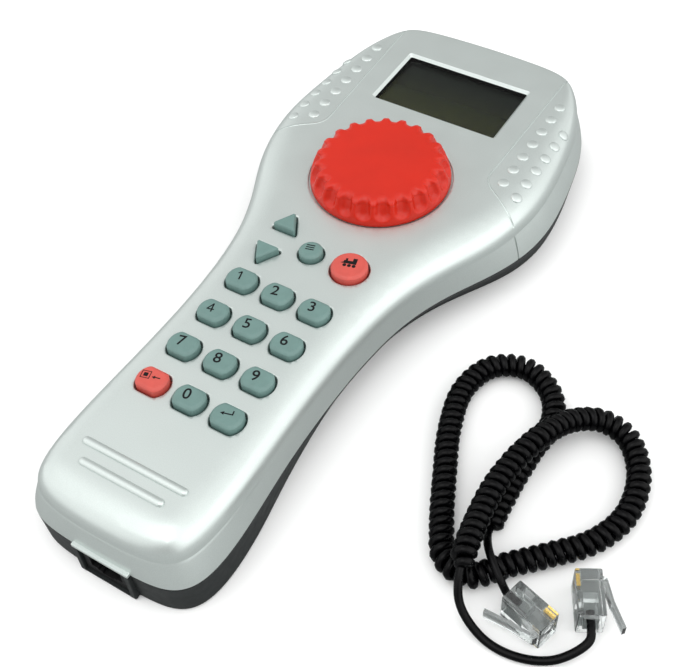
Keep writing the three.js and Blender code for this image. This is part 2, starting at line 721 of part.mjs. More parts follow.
// Six-way modular jack: the plug's cavity with the slot for its latch below it. Its snout
// reaches into the socket, where the lip of the front shell closes the cavity.
function modularJack() {
  const width = SOCKET_WIDTH - 2 * FIT;
  const front = -105.6;
  const blockFront = -102.3;
  const back = -88.8;
  const backWall = 2;
  const floor = 4.5;
  const ceiling = floor + PLUG_THICKNESS + 0.25;
  const snoutTop = JOINT_Z - 0.4;
  const between = (size, from, to, bottom, top) => box(size, to - from, bottom, top, SOCKET_X, (from + to) / 2);
  const block = between(width, blockFront, back, WALL + FIT, BOARD_Z - PART_GAP);
  const snout = between(width, front, blockFront + 1, SOCKET_FLOOR_Z + FIT, snoutTop);
  const hollow = (size, bottom) => between(size, front - 1, back - backWall, bottom, ceiling);
  return cut(block.add(snout), [
    hollow(PLUG_WIDTH + 0.4, floor),
    hollow(6.2, floor - 0.7),
    hollow(3.6, floor - 1.4),
  ]);
}

// ---------------------------------------------------------------- screws

// Pan-head screw pointing up, with a cross recess in the underside of its head.
function crossScrew({ headRadius, shankRadius, headBottom, headTop, tip, x, y }) {
  const slot = headRadius * 1.1;
  const recess = [[slot, 0.5], [0.5, slot]].map(([width, depth]) => (
    box(width, depth, headBottom - 1, headBottom + 0.8, x, y)
  ));
  const body = stack([
    [circle(headRadius * 0.8, x, y, 8), headBottom],
    [circle(headRadius, x, y, 8), headBottom + 0.5],
    [circle(headRadius, x, y, 8), headTop],
    [circle(shankRadius, x, y, 8), headTop],
    [circle(shankRadius, x, y, 8), tip],
  ]);
  return cut(body, recess);
}

function housingScrew(place) {
  return crossScrew({
    headRadius: 2.6,
    shankRadius: 1.25,
    headBottom: 1.3,
    headTop: HEAD_SEAT_Z - PART_GAP,
    tip: 17,
    ...place,
  });
}

function boardScrew(place) {
  return crossScrew({
    headRadius: 2.1,
    shankRadius: 0.85,
    headBottom: 12.8,
    headTop: BOARD_Z - PART_GAP,
    tip: 21,
    ...place,
  });
}

// ---------------------------------------------------------------- cord and plugs

// Centre line of the coiled part, laid in two lobes with its last stretch on
// top of its first, and of the two straight tails to the plugs.
const COIL_LOW = COIL_RADIUS + 0.1;
const COIL_HIGH = 3 * COIL_RADIUS + 0.5;
const TAIL_A = [
  [93.9, -61.8, 4.9], [90.6, -60.8, 4.9], [86.6, -58.6, 7.6], [82.6, -55.2, 8.6], [79.6, -50.8, 6.4],
];
const COIL = [
  [77.7, -46, COIL_LOW], [76.7, -34, COIL_LOW], [76.6, -20.5, COIL_LOW], [77.2, -7.5, COIL_LOW],
  [72.5, 1, COIL_LOW], [63, 5.2, COIL_LOW], [54.5, 1, COIL_LOW], [51.2, -9.5, COIL_LOW],
  [54, -23, COIL_LOW], [60, -37, COIL_LOW], [67, -51.5, COIL_LOW], [72, -59, COIL_LOW],
  [79.2, -60.2, COIL_LOW], [86, -53, COIL_LOW], [94, -45, COIL_LOW], [102, -36, COIL_LOW],
  [106, -25, COIL_LOW], [104, -12, COIL_LOW], [97, -3, COIL_LOW + 0.4], [89.5, -2, COIL_LOW + 1.6],
  [82.4, -8, 7.7], [77.8, -20, COIL_HIGH], [75, -34, COIL_HIGH], [75.2, -46, COIL_HIGH],
  [78.3, -63, COIL_HIGH],
];
const TAIL_B = [
  [81.6, -69, 5.5], [90, -72.4, 1.6], [99, -72.2, 1.3], [107, -68.5, 2],
  [112, -61.5, 4.3], [110.9, -58.1, 4.9], [109.1, -55, 4.9],
];

function vectors(places) {
  return places.map((place) => new THREE.Vector3(...place));
}

function cord() {
  const curve = new THREE.CatmullRomCurve3(vectors([...TAIL_A, ...COIL, ...TAIL_B]), false, "centripetal");
  const whole = curve.getLength();
  const lengthOf = (places) => new THREE.CatmullRomCurve3(vectors(places), false, "centripetal").getLength();
  const coilStart = lengthOf([...TAIL_A, COIL[0]]) / whole;
  const coilEnd = 1 - lengthOf([COIL.at(-1), ...TAIL_B]) / whole;
  const blend = 0.008;
  const radiusAt = (t) => {
    const inside = Math.min(t - coilStart, coilEnd - t);
    return THREE.MathUtils.lerp(TAIL_RADIUS, COIL_RADIUS, THREE.MathUtils.clamp(inside / blend, 0, 1));
  };
  return tube(curve, 84, 6, radiusAt);
}

// Plugs lie on their side. In a plug's own frame its nose points along +Y, the
// latch is on the +X side and the origin is the middle of the cable end.
const PLUGS = [
  { name: "plug_a", x: 91, y: -61, heading: -106 },
  { name: "plug_b", x: 110.6, y: -57.6, heading: 29 },
];
const PLUG_MIDDLE_Z = PLUG_WIDTH / 2 + 0.1;
const LATCH_HINGE_Y = PLUG_LENGTH - 1.1;
const LATCH_HINGE_X = PLUG_THICKNESS / 2 + 0.8;
const CONTACT_HEIGHTS = [-1.53, -0.51, 0.51, 1.53];

function plugBody() {
  const half = PLUG_WIDTH / 2;
  const middle = PLUG_LENGTH / 2;
  const shell = stack([
    [rectangle(PLUG_THICKNESS - 0.6, PLUG_LENGTH, 0, middle), -half],
    [rectangle(PLUG_THICKNESS, PLUG_LENGTH, 0, middle), -half + 0.3],
    [rectangle(PLUG_THICKNESS, PLUG_LENGTH, 0, middle), half - 0.3],
    [rectangle(PLUG_THICKNESS - 0.6, PLUG_LENGTH, 0, middle), half],
  ]);
  const cableHole = box(3.6, 8, -2.6, 2.6, 0, 2.5);
  const strainPocket = box(2.2, 3, -2.4, 2.4, -2.9, 3.4);
  const contactSlots = CONTACT_HEIGHTS.map((z) => box(3.2, 5, z - 0.3, z + 0.3, -3.3, PLUG_LENGTH - 1.5));
  return cut(shell, [cableHole, strainPocket, ...contactSlots]);
}

// Sprung latch lever, hinged at the nose and standing away towards the cable.
function plugLatch() {
  const lever = [[3.65, 10.6], [5, 5], [7.1, -1.8], [8, -1.4], [5.9, 5.2], [4.8, 11.4], [3.65, 11.9]];
  const outline = lever.map(([x, y]) => ({ x: x - LATCH_HINGE_X, y: y - LATCH_HINGE_Y }));
  return prism(outline, -1.6, 1.6);
}

function plugContact() {
  return box(1.15, 3.2, -0.15, 0.15, -2.55, PLUG_LENGTH - 2.1);
}

// ---------------------------------------------------------------- finishes and assembly

const SILVER = { color: 0xb9c3be, roughness: 0.38, metalness: 0.35 };
const ANTHRACITE = { color: 0x33383a, roughness: 0.5, metalness: 0 };
const SIGNAL_RED = { color: 0xdd3826, roughness: 0.35, metalness: 0 };
const BLACK_PLASTIC = { color: 0x0e0e10, roughness: 0.45, metalness: 0 };
const BLACK_CORD = { color: 0x0b0b0d, roughness: 0.3, metalness: 0 };
const CLEAR = { color: 0xdfe6e4, roughness: 0.1, metalness: 0, transparent: true, opacity: 0.4 };
const DISPLAY_GLASS = { color: 0x1d2118, roughness: 0.15, metalness: 0 };
const DIFFUSER = { color: 0xe8eadf, roughness: 0.6, metalness: 0 };
const BOARD_GREEN = { color: 0x1e5a38, roughness: 0.5, metalness: 0 };
const RIBBON_TAN = { color: 0xb88a4a, roughness: 0.5, metalness: 0 };
const SILICONE = { color: 0xb9bdb8, roughness: 0.8, metalness: 0 };
const STEEL = { color: 0xb4b7ba, roughness: 0.3, metalness: 1 };
const GOLD = { color: 0xd9b04c, roughness: 0.25, metalness: 1 };

const controller = new THREE.Group();

function add(name, solid, finish, parent = controller) {
  const mesh = new THREE.Mesh(toGeometry(solid), new THREE.MeshStandardMaterial(finish));
  mesh.name = name;
  parent.add(mesh);
  return mesh;
}

add("front_shell", frontShell(), SILVER);
add("rear_shell", rearShell(), ANTHRACITE);

add("display_window", displayWindow(), CLEAR);
add("display_panel", displayPanel(), DISPLAY_GLASS);
add("display_frame", displayFrame(), STEEL);
add("backlight", backlight(), DIFFUSER);
add("display_board", displayBoard(), BOARD_GREEN);
add("ribbon_cable", ribbonCable(), RIBBON_TAN);

add("speed_knob", speedKnob(), SIGNAL_RED);
add("knob_shaft", knobShaft(), STEEL);
add("encoder_body", encoderBody(), STEEL);
add("encoder_washer", encoderWasher(), STEEL);
add("encoder_nut", encoderNut(), STEEL);

add("main_board", mainBoard(), BOARD_GREEN);
add("microcontroller", chip(12, 12, 0, -28), BLACK_PLASTIC);
add("line_driver", chip(5, 6, 6, -70), BLACK_PLASTIC);
add("supply_capacitor", supplyCapacitor(), BLACK_PLASTIC);
add("crystal", crystal(), STEEL);
add("modular_jack", modularJack(), BLACK_PLASTIC);
add("keypad_mat", keypadMat(), SILICONE);
KEYS.forEach((key) => add(key.name, keySolid(key), key.finish));

bothSides(HOUSING_SCREWS).forEach((place, i) => add(`housing_screw_${i + 1}`, housingScrew(place), STEEL));
bothSides(BOARD_SCREWS).forEach((place, i) => add(`board_screw_${i + 1}`, boardScrew(place), STEEL));

add("cord", cord(), BLACK_CORD);
PLUGS.forEach(({ name, x, y, heading }) => {
  const plug = new THREE.Group();
  plug.position.set(x, y, PLUG_MIDDLE_Z);
  plug.rotation.z = THREE.MathUtils.degToRad(heading);
  controller.add(plug);
  add(`${name}_body`, plugBody(), CLEAR, plug);
  const latch = add(`${name}_latch`, plugLatch(), CLEAR, plug);
  latch.position.set(LATCH_HINGE_X, LATCH_HINGE_Y, 0);
  CONTACT_HEIGHTS.forEach((z, i) => {
    add(`${name}_contact_${i + 1}`, plugContact(), GOLD, plug).position.z = z;
  });
});

export default controller;
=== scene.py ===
"""Looks of a hand-held model railway controller and its coiled cord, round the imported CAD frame.

X runs across the handset, Y from the cord socket towards the display and Z out of the key face.
Shapes are worked out in millimetres and become metres when their mesh is made.
"""

import math

import bpy
import numpy as np
from mathutils import Matrix, Vector
from mathutils.geometry import delaunay_2d_cdt


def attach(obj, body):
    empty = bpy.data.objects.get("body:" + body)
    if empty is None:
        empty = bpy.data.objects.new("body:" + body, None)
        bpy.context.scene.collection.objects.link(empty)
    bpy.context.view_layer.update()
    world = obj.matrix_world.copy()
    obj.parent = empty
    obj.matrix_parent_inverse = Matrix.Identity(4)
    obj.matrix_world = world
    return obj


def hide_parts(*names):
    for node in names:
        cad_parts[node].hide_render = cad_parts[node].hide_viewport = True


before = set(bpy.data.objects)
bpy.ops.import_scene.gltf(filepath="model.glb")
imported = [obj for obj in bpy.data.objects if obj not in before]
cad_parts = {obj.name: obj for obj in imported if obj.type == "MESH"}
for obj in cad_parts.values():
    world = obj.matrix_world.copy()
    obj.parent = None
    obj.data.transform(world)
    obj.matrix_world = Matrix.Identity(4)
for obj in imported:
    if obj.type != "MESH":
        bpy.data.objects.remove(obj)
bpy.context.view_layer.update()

# ---------- dimensions, in millimetres

MM = 0.001

FACE_Z = 27
JOINT_Z = 11.6
SKIRT_TOP = 20
JOINT_GAP = 0.3
WALL = 2.2
RIM = 3.4
FACE_WALL = 2.4
FIT = 0.3
UNDERSIDE_Z = FACE_Z - FACE_WALL
SHELL_BOSS_Z = 8.8
SHELL_BOSS_RADIUS = 4.3
FRONT_BOSS_RADIUS = 3.2
BOARD_POST_RADIUS = 2.2
BOARD_TOP_Z = 16
TONGUE_TOP_Z = JOINT_Z + 1.4

# Control points of one side of the joint line: x, y, lean of the skirt, width of the
# shoulder and taper of the rear shell.
SIDE_POINTS = [
    (0, -105.7, 1.5, 7.5, 0.5),
    (12, -105.5, 1.6, 7.3, 0.5),
    (21.8, -104.4, 2.6, 6.3, 0.5),
    (27, -98.8, 2.8, 6.2, 0.5),
    (28.2, -88, 2, 7.3, 0.5),
    (27.2, -74, 1, 7.5, 0.8),
    (25.8, -60, 0.3, 7.5, 2),
    (25.3, -45, 0.3, 7.5, 3.5),
    (25.4, -30, 0.3, 7.5, 4.8),
    (26.5, -15, 0.3, 7.5, 5.5),
    (29, -1, 0.3, 7.5, 6),
    (34.2, 12, 0.5, 7.7, 6.5),
    (41.2, 24, 1.2, 7.8, 6.2),
    (46.6, 36.5, 2.8, 7.8, 4.6),
    (48.4, 49.5, 3, 7.8, 3),
    (47.2, 62.5, 2.8, 7.6, 2),
    (44.9, 76, 2.4, 7.2, 1.6),
    (42, 88, 2.2, 6, 1.6),
    (37.2, 97.5, 2, 4.6, 1.6),
    (32, 104.3, 2, 3.4, 1.6),
    (24, 106.6, 2, 3, 1.6),
    (12, 107.2, 2, 3, 1.6),
    (0, 107.5, 2, 3, 1.6),
]
OUTLINE_STEPS = 8

KEY_PITCH_X = 12
KEY_PITCH_Y = 13.46
ZERO_KEY_Y = -63.4
KEY_TOP_Z = 29.1
KEY_CLEARANCE = 0.5
OVAL_RADIUS = 4.45
OVAL_HALF_DEPTH = 3.5
MENU_KEY_RADIUS = 3.45
ENGINE_KEY_RADIUS = 5.25
ARROW_REACH = 4.45  # from an arrow key's middle to its unrounded corners
KEY_FLANGE = 1.2
FLANGE_TOP_Z = FACE_Z - FACE_WALL - FIT
FLANGE_BOTTOM_Z = FLANGE_TOP_Z - 1.6
ROUND_KEY_Y = -4.7
MENU_KEY_X = -0.9
ENGINE_KEY_X = 11.9
ARROW_KEY_X = -12.7
ARROW_KEY_STEP = 6

KNOB_Y = 32.4
KNOB_RADIUS = 21.15
KNOB_TOP_Z = 34.3
KNOB_SCOOPS = 22
WELL_DEPTH = 0.8

DISPLAY_Y = 76.4
DISPLAY_WIDTH = 43.8
DISPLAY_HEIGHT = 25.2
DISPLAY_DEPTH = 0.9
BEZEL_SLOPE = 0.7

SOCKET_X = 1.2
SOCKET_WIDTH = 14.7
SOCKET_FLOOR_Z = 1.2
SOCKET_END_Y = -105.2
SOCKET_FRAME_WIDTH = 18

GRIP_RIBS = [(15.2, -86.2), (12, -91.5)]  # half length, y
GRIP_BUMP_ROWS = [(33.4, 47.3, 7), (39.3, 44.2, 6)]  # x, first y, count
GRIP_BUMP_STEP = 6.5
BUMP_RADIUS = 1.75
BUMP_HEIGHT = 0.5
HOUSING_SCREWS = [(18, -90), (19, 12), (31, 84)]
BOARD_SCREWS = [(15.5, -80), (20.5, 46)]

# ---------- mesh helpers


def circle(radius, x=0.0, y=0.0, sides=48):
    """Points of a circle, anticlockwise."""
    turn = np.arange(sides) * 2 * math.pi / sides
    return np.column_stack([x + radius * np.cos(turn), y + radius * np.sin(turn)])


def rounded_rectangle(width, depth, radius, x=0.0, y=0.0, steps=6):
    """Points of a rectangle with round corners, anticlockwise."""
    points = []
    for quarter, (sx, sy) in enumerate([(1, 1), (-1, 1), (-1, -1), (1, -1)]):
        for step in range(steps + 1):
            turn = math.pi / 2 * (quarter + step / steps)
            points.append((
                x + sx * (width / 2 - radius) + radius * math.cos(turn),
                y + sy * (depth / 2 - radius) + radius * math.sin(turn),
            ))
    return np.array(points)


def level(outline, z):
    """A flat ring of points at one height."""
    return np.column_stack([outline, np.full(len(outline), float(z))])


def loft(rings):
    """Vertices and faces of a closed solid through rings with equal numbers of points."""
    count = len(rings[0])
    faces = []
    for row in range(len(rings) - 1):
        for i in range(count):
            a = row * count + i
            b = row * count + (i + 1) % count
            faces.append((a, b, b + count, a + count))
    faces.append(tuple(range(count - 1, -1, -1)))
    last = (len(rings) - 1) * count
    faces.append(tuple(range(last, last + count)))
    return np.vstack(rings), faces


def stack(pairs):
    """A solid of stacked flat outlines, given as (outline, height) from the bottom up."""
    return loft([level(outline, z) for outline, z in pairs])


def cylinder(radius, bottom, top, x, y, sides=24):
    return stack([(circle(radius, x, y, sides), bottom), (circle(radius, x, y, sides), top)])


def merged(solids):
    """Several solids that don't touch, as one set of vertices and faces."""
    vertices, faces, start = [], [], 0
    for points, polygons in solids:
        vertices.append(points)
        faces.extend(tuple(start + i for i in polygon) for polygon in polygons)
        start += len(points)
    return np.vstack(vertices), faces


def placed(solid, matrix):
    """A solid moved by a 4 by 4 matrix in millimetres."""
    points, faces = solid
    turn = np.array(matrix)
    return points @ turn[:3, :3].T + turn[:3, 3], faces


def blend(low, high, start, end, t):
    """Value at t on the line from low at start to high at end."""
    share = (t - start) / (end - start)
    return low * (1 - share) + high * share


def curve_span(corners):
    """Points of a centripetal Catmull-Rom curve between the middle two of four corners."""
    a, b, c, d = corners
    knots = [0.0]
    for start, end in ((a, b), (b, c), (c, d)):
        knots.append(knots[-1] + max(np.linalg.norm(end - start) ** 0.5, 1e-6))
    t0, t1, t2, t3 = knots
    span = []
    for t in np.linspace(t1, t2, 24, endpoint=False):
        first = blend(a, b, t0, t1, t)
        middle = blend(b, c, t1, t2, t)
        last = blend(c, d, t2, t3, t)
        low = blend(first, middle, t0, t2, t)
        high = blend(middle, last, t1, t3, t)
        span.append(blend(low, high, t1, t2, t))
    return span


def length_along(path):
    """Distance of each point of a path from its start, measured along the path."""
    steps = np.linalg.norm(np.diff(path, axis=0), axis=1)
    return np.concatenate([[0], np.cumsum(steps)])


def points_at(distances, path, length):
    """Points at some distances along a path whose own points lie at the given lengths."""
    return np.column_stack([np.interp(distances, length, path[:, axis]) for axis in range(3)])


def smooth_path(points, steps):
    """Points spaced evenly along a curve through the given points."""
    points = np.array(points, float)
    corners = [2 * points[0] - points[1], *points, 2 * points[-1] - points[-2]]
    spans = zip(corners, corners[1:], corners[2:], corners[3:])
    dense = [place for four in spans for place in curve_span(four)]
    dense = np.array([*dense, points[-1]])
    length = length_along(dense)
    return points_at(np.linspace(0, length[-1], steps), dense, length)


def frames_along(path):
    """Each point of a path with two directions square to the path, carried along without twist."""
    along = np.gradient(path, axis=0)
    along /= np.linalg.norm(along, axis=1)[:, None]
    side = np.cross(along[0], (0, 0, 1) if abs(along[0][2]) < 0.9 else (1, 0, 0))
    for place, way in zip(path, along):
        side = side - way * (side @ way)
        side = side / np.linalg.norm(side)
        yield place, side, np.cross(way, side)


def swept(path, radius, sides=8):
    """A closed tube along a path, with a radius that may differ from point to point."""
    path = np.asarray(path, float)
    turn = np.arange(sides) * 2 * math.pi / sides
    rings = []
    for (place, side, up), reach in zip(frames_along(path), np.broadcast_to(radius, len(path))):
        rings.append(place + reach * (np.cos(turn)[:, None] * side + np.sin(turn)[:, None] * up))
    return loft(rings)


def add_object(name, data):
    """A new object in the scene, with its mesh, text, light or camera."""
    piece = bpy.data.objects.new(name, data)
    bpy.context.scene.collection.objects.link(piece)
    return piece


def mesh_object(name, solid):
    points, faces = solid
    mesh = bpy.data.meshes.new(name)
    mesh.from_pydata((points * MM).tolist(), [], faces)
    mesh.update()
    return add_object(name, mesh)


def combine(piece, solid, operation):
    """Joins a solid to a piece, or cuts it out of the piece."""
    tool = mesh_object("tool", solid)
    modifier = piece.modifiers.new("combine", "BOOLEAN")
    modifier.object = tool
    modifier.operation = operation
    modifier.solver = "MANIFOLD"
    graph = bpy.context.evaluated_depsgraph_get()
    result = bpy.data.meshes.new_from_object(piece.evaluated_get(graph))
    piece.modifiers.clear()
    piece.data = result
    bpy.data.objects.remove(tool)


def join(piece, *solids):
    combine(piece, merged(solids), "UNION")


def cut(piece, *solids):
    combine(piece, merged(solids), "DIFFERENCE")


def dress(piece, material, body, sharp, stands_for=()):
    """Material and shading of a new piece, its body, and the CAD nodes that it replaces."""
    piece.data.materials.clear()
    piece.data.materials.append(material)
    piece.data.shade_smooth()
    piece.data.set_sharp_from_angle(angle=math.radians(sharp))
    normals = piece.modifiers.new("normals", "WEIGHTED_NORMAL")
    normals.keep_sharp = True
    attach(piece, body)
    if stands_for:
        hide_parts(*stands_for)


def both_sides(places):
    """Places on the right together with their mirror images on the left."""
    return [(side * x, y) for x, y in places for side in (1, -1)]


# ---------- materials

SRGB_KNEE = 0.04045


def linear(red, green, blue):
    """Linear colour of 8-bit display values."""
    def channel(value):
        share = value / 255
        return share / 12.92 if share <= SRGB_KNEE else ((share + 0.055) / 1.055) ** 2.4
    return channel(red), channel(green), channel(blue), 1.0


class Finish:
    """A node material that starts as plain plastic and gains detail step by step."""

    def __init__(self, name, color, roughness, **inputs):
        self.material = bpy.data.materials.new(name)
        self.material.use_nodes = True
        tree = self.material.node_tree
        self.nodes, self.links = tree.nodes, tree.links
        self.shader = self.nodes["Principled BSDF"]
        self.place = self.nodes.new("ShaderNodeTexCoord").outputs["Object"]
        self.color = color
        self.set("Base Color", color)
        self.set("Roughness", roughness)
        for label, value in inputs.items():
            self.set(label.replace("_", " "), value)

    def set(self, label, value):
        self.shader.inputs[label].default_value = value

    def noise(self, size_mm, detail=3.0):
        """Noise with features of about this size."""
        node = self.nodes.new("ShaderNodeTexNoise")
        node.inputs["Scale"].default_value = 1 / (size_mm * MM)
        node.inputs["Detail"].default_value = detail
        self.links.new(self.place, node.inputs["Vector"])
        return node.outputs["Fac"]

    def ramp(self, source, low, high, start=0.3, end=0.7):
        """A value or colour that goes from low to high as the source goes from start to end."""
        node = self.nodes.new("ShaderNodeMapRange")
        if hasattr(low, "__len__"):
            node.data_type = "FLOAT_VECTOR"
            wide = [socket for socket in node.inputs if socket.type == "VECTOR"]
            wide[0].default_value = (0, 0, 0)
            wide[1].default_value = (start,) * 3
            wide[2].default_value = (end,) * 3
            wide[3].default_value = low[:3]
            wide[4].default_value = high[:3]
            self.links.new(source, wide[0])
            return node.outputs["Vector"]
        node.inputs["From Min"].default_value = start
        node.inputs["From Max"].default_value = end
        node.inputs["To Min"].default_value = low
        node.inputs["To Max"].default_value = high
        self.links.new(source, node.inputs["Value"])
        return node.outputs["Result"]

    def mottle(self, size_mm, spread):
        """Soft variation of the colour."""
        low = [channel * (1 - spread) for channel in self.color[:3]]
        high = [min(1.0, channel * (1 + spread)) for channel in self.color[:3]]
        self.links.new(self.ramp(self.noise(size_mm), low, high), self.shader.inputs["Base Color"])
        return self

    def uneven_gloss(self, size_mm, low, high):
        self.links.new(self.ramp(self.noise(size_mm), low, high), self.shader.inputs["Roughness"])
        return self

    def grain(self, size_mm, depth_mm, strength=1.0):
        """Fine relief, such as a moulded texture."""
        node = self.nodes.new("ShaderNodeBump")
        node.inputs["Strength"].default_value = strength
        node.inputs["Distance"].default_value = depth_mm * MM
        self.links.new(self.noise(size_mm, 2.0), node.inputs["Height"])
        self.links.new(node.outputs["Normal"], self.shader.inputs["Normal"])
        return self


silver = Finish(
    "silver_paint", linear(198, 206, 203), 0.34,
    Metallic=0.7, Coat_Weight=0.1, Coat_Roughness=0.25,
)
silver.mottle(0.25, 0.045).uneven_gloss(9, 0.33, 0.4).grain(0.12, 0.004, 0.5)

anthracite = Finish("anthracite_plastic", linear(26, 30, 30), 0.5, Specular_IOR_Level=0.35)
anthracite.mottle(6, 0.1).uneven_gloss(3, 0.4, 0.52).grain(0.35, 0.02, 0.5)

knob_red = Finish(
    "signal_red_plastic", linear(190, 31, 8), 0.42, Specular_IOR_Level=0.35,
    Subsurface_Weight=0.25, Subsurface_Radius=(1.0, 0.2, 0.1), Subsurface_Scale=0.0015,
)
knob_red.mottle(14, 0.05).uneven_gloss(2, 0.3, 0.4).grain(0.3, 0.008, 0.5)

key_grey = Finish("key_grey", linear(98, 127, 122), 0.5)
key_red = Finish("key_red", linear(192, 76, 66), 0.5)
for key_finish in (key_grey, key_red):
    key_finish.mottle(2.5, 0.05).uneven_gloss(1.5, 0.44, 0.56).grain(0.2, 0.008, 0.6)

print_black = Finish("key_print", linear(8, 10, 12), 0.6, Specular_IOR_Level=0.2)
print_black.mottle(0.4, 0.2).grain(0.15, 0.004, 0.5)

cord_black = Finish("cord_jacket", linear(2, 2, 3), 0.24, Specular_IOR_Level=0.12)
cord_black.mottle(5, 0.25).uneven_gloss(1.2, 0.2, 0.32).grain(0.25, 0.006, 0.6)

clear = Finish("clear_plastic", linear(240, 244, 243), 0.06, Transmission_Weight=1.0, IOR=1.49)
clear.uneven_gloss(2, 0.03, 0.12).grain(1.5, 0.004, 0.5)

window_clear = Finish("window_acrylic", linear(232, 238, 232), 0.04, Transmission_Weight=1.0, IOR=1.2)
window_clear.uneven_gloss(6, 0.02, 0.06)

black_plastic = Finish("black_plastic", linear(8, 8, 9), 0.5, Specular_IOR_Level=0.3)
black_plastic.mottle(1.5, 0.2).uneven_gloss(1, 0.42, 0.58).grain(0.2, 0.01, 0.6)

steel = Finish("plated_steel", linear(190, 193, 196), 0.3, Metallic=1.0)
steel.mottle(3, 0.06).uneven_gloss(1, 0.24, 0.38).grain(0.6, 0.006, 0.5)

gold = Finish("gold_contact", linear(226, 186, 92), 0.24, Metallic=1.0)
gold.mottle(1, 0.06).uneven_gloss(0.5, 0.2, 0.3)

board_green = Finish("solder_mask", linear(24, 84, 50), 0.36, Coat_Weight=0.2)
board_green.mottle(3, 0.18).uneven_gloss(2, 0.3, 0.45).grain(0.8, 0.02, 0.6)

ribbon_tan = Finish("ribbon_film", linear(190, 142, 78), 0.35)
ribbon_tan.mottle(1, 0.15).uneven_gloss(1, 0.3, 0.42)

silicone = Finish("silicone_mat", linear(186, 190, 186), 0.7, Subsurface_Weight=0.1)
silicone.mottle(2, 0.05).grain(0.3, 0.01, 0.6)

diffuser = Finish("backlight_diffuser", linear(232, 234, 224), 0.6)
diffuser.mottle(3, 0.03).grain(0.4, 0.01, 0.6)


def display_finish():
    """Dark display glass with painted light on it: lit olive towards the knob and shaded nearly black
    at the far edge, not the glass's own colour.
    """
    finish = Finish("display_glass", linear(20, 24, 18), 0.2, Specular_IOR_Level=0.3)
    axes = finish.nodes.new("ShaderNodeSeparateXYZ")
    finish.links.new(finish.place, axes.inputs["Vector"])
    far = (DISPLAY_Y + 7) * MM
    near = (DISPLAY_Y - 9) * MM
    # painted light and shade: olive and lighter near the knob, nearly black at the far edge
    tone = finish.ramp(axes.outputs["Y"], linear(52, 52, 28), linear(10, 15, 12), near, far)
    finish.links.new(tone, finish.shader.inputs["Base Color"])
    return finish


display_glass = display_finish()

# ---------- housing outline


class Outline:
    """The joint line as a closed uniform cubic B-spline, with its inward directions."""

    def __init__(self, steps):
        side = np.array(SIDE_POINTS, float)
        mirrored = side[1:-1][::-1] * (-1, 1, 1, 1, 1)
        controls = np.vstack([side, mirrored])
        t = np.arange(steps) / steps
        weights = np.column_stack([
            (1 - t) ** 3,
            3 * t ** 3 - 6 * t ** 2 + 4,
            -3 * t ** 3 + 3 * t ** 2 + 3 * t + 1,
            t ** 3,
        ]) / 6
        count = len(controls)
        spans = [weights @ controls[np.arange(i, i + 4) % count] for i in range(count)]
        points = np.vstack(spans)
        along = np.roll(points, -1, 0)[:, :2] - np.roll(points, 1, 0)[:, :2]
        along /= np.linalg.norm(along, axis=1)[:, None]
        self.points = points[:, :2]
        self.inward = np.column_stack([-along[:, 1], along[:, 0]])
        self.skirt, self.shoulder, self.rear = points[:, 2:].T

    def inset(self, distance):
        """The joint line moved inwards by a distance, which may differ from point to point."""
        return self.points + self.inward * np.broadcast_to(distance, len(self.points))[:, None]


outline = Outline(OUTLINE_STEPS)

DOME_POWER = 2.4  # fullness of the dome
HEAD_START_Y, HEAD_END_Y = 66, 98  # the dome gets narrower between these
NARROW_DOME_Y = 82  # beyond this the net of the face follows the dome
NOSE_START_Y, NOSE_END_Y = -50, -80  # a crease appears at the dome's foot between these


def share_between(start, end):
    """How far each outline point lies on the way from one Y to another."""
    return np.clip((outline.points[:, 1] - start) / (end - start), 0, 1)


crease = 0.05 + 0.2 * share_between(NOSE_START_Y, NOSE_END_Y)
dome_width = outline.shoulder * (1.4 - 0.45 * share_between(HEAD_START_Y, HEAD_END_Y))


def dome_line(share):
    """Line round the dome at a share of the way from its foot to the flat face."""
    return outline.inset(outline.skirt + crease + dome_width * share)


def dome_height(share):
    """Height over the dome's foot at a share of the way from the foot to the flat face."""
    rise = 1 - (1 - np.clip(share, 0, 1)) ** DOME_POWER
    return SKIRT_TOP + (FACE_Z - SKIRT_TOP) * np.sqrt(rise)


def foot_distance(places):
    """Distance of points from the dome's foot, and the dome's width at the nearest point of it."""
    start = dome_line(0)
    step = np.roll(start, -1, 0) - start
    offset = places[:, None, :] - start[None]
    share = np.clip((offset * step).sum(2) / (step ** 2).sum(1), 0, 1)
    gap = np.linalg.norm(offset - share[..., None] * step, axis=2)
    nearest = gap.argmin(1)
    return gap[np.arange(len(places)), nearest], dome_width[nearest]


def surface_height(places):
    """Height of the front shell's face at some places."""
    distance, width = foot_distance(np.asarray(places, float))
    return dome_height(distance / width)


def surface_frame(x, y):
    """Point on the front shell's face and the direction out of it."""
    step = 0.2
    heights = surface_height([(x, y), (x + step, y), (x, y + step)])
    slope_x = (heights[1] - heights[0]) / step
    slope_y = (heights[2] - heights[0]) / step
    return Vector((x, y, heights[0])), Vector((-slope_x, -slope_y, 1)).normalized()


# ---------- front shell

STEEP_SHARES = (0, 0.004, 0.016, 0.036, 0.065, 0.1, 0.145, 0.2, 0.26, 0.32)  # rings of the dome
NARROW_DOME_SHARES = (0.4, 0.5, 0.62, 0.75, 0.88, 1)  # lines of the net at the head end
NET_SPACING = 1.5


def steep_rings():
    """Rings of the skirt and of the steep part of the dome, from the joint up."""
    joint = JOINT_Z + JOINT_GAP / 2
    rings = [level(outline.inset(0.15), joint), level(outline.inset(0), joint + 0.15)]
    for share in (0.2, 0.4, 0.6, 0.8, 0.94):
        lean = outline.skirt * share ** 1.25
        rings.append(level(outline.inset(lean), joint + 0.15 + (SKIRT_TOP - 0.5 - joint) * share))
    for share, z in ((0.15, SKIRT_TOP - 0.42), (0.6, SKIRT_TOP - 0.22)):
        rings.append(level(outline.inset(outline.skirt + crease * share), z))
    rings += [level(dome_line(share), dome_height(share)) for share in STEEP_SHARES]
    return rings


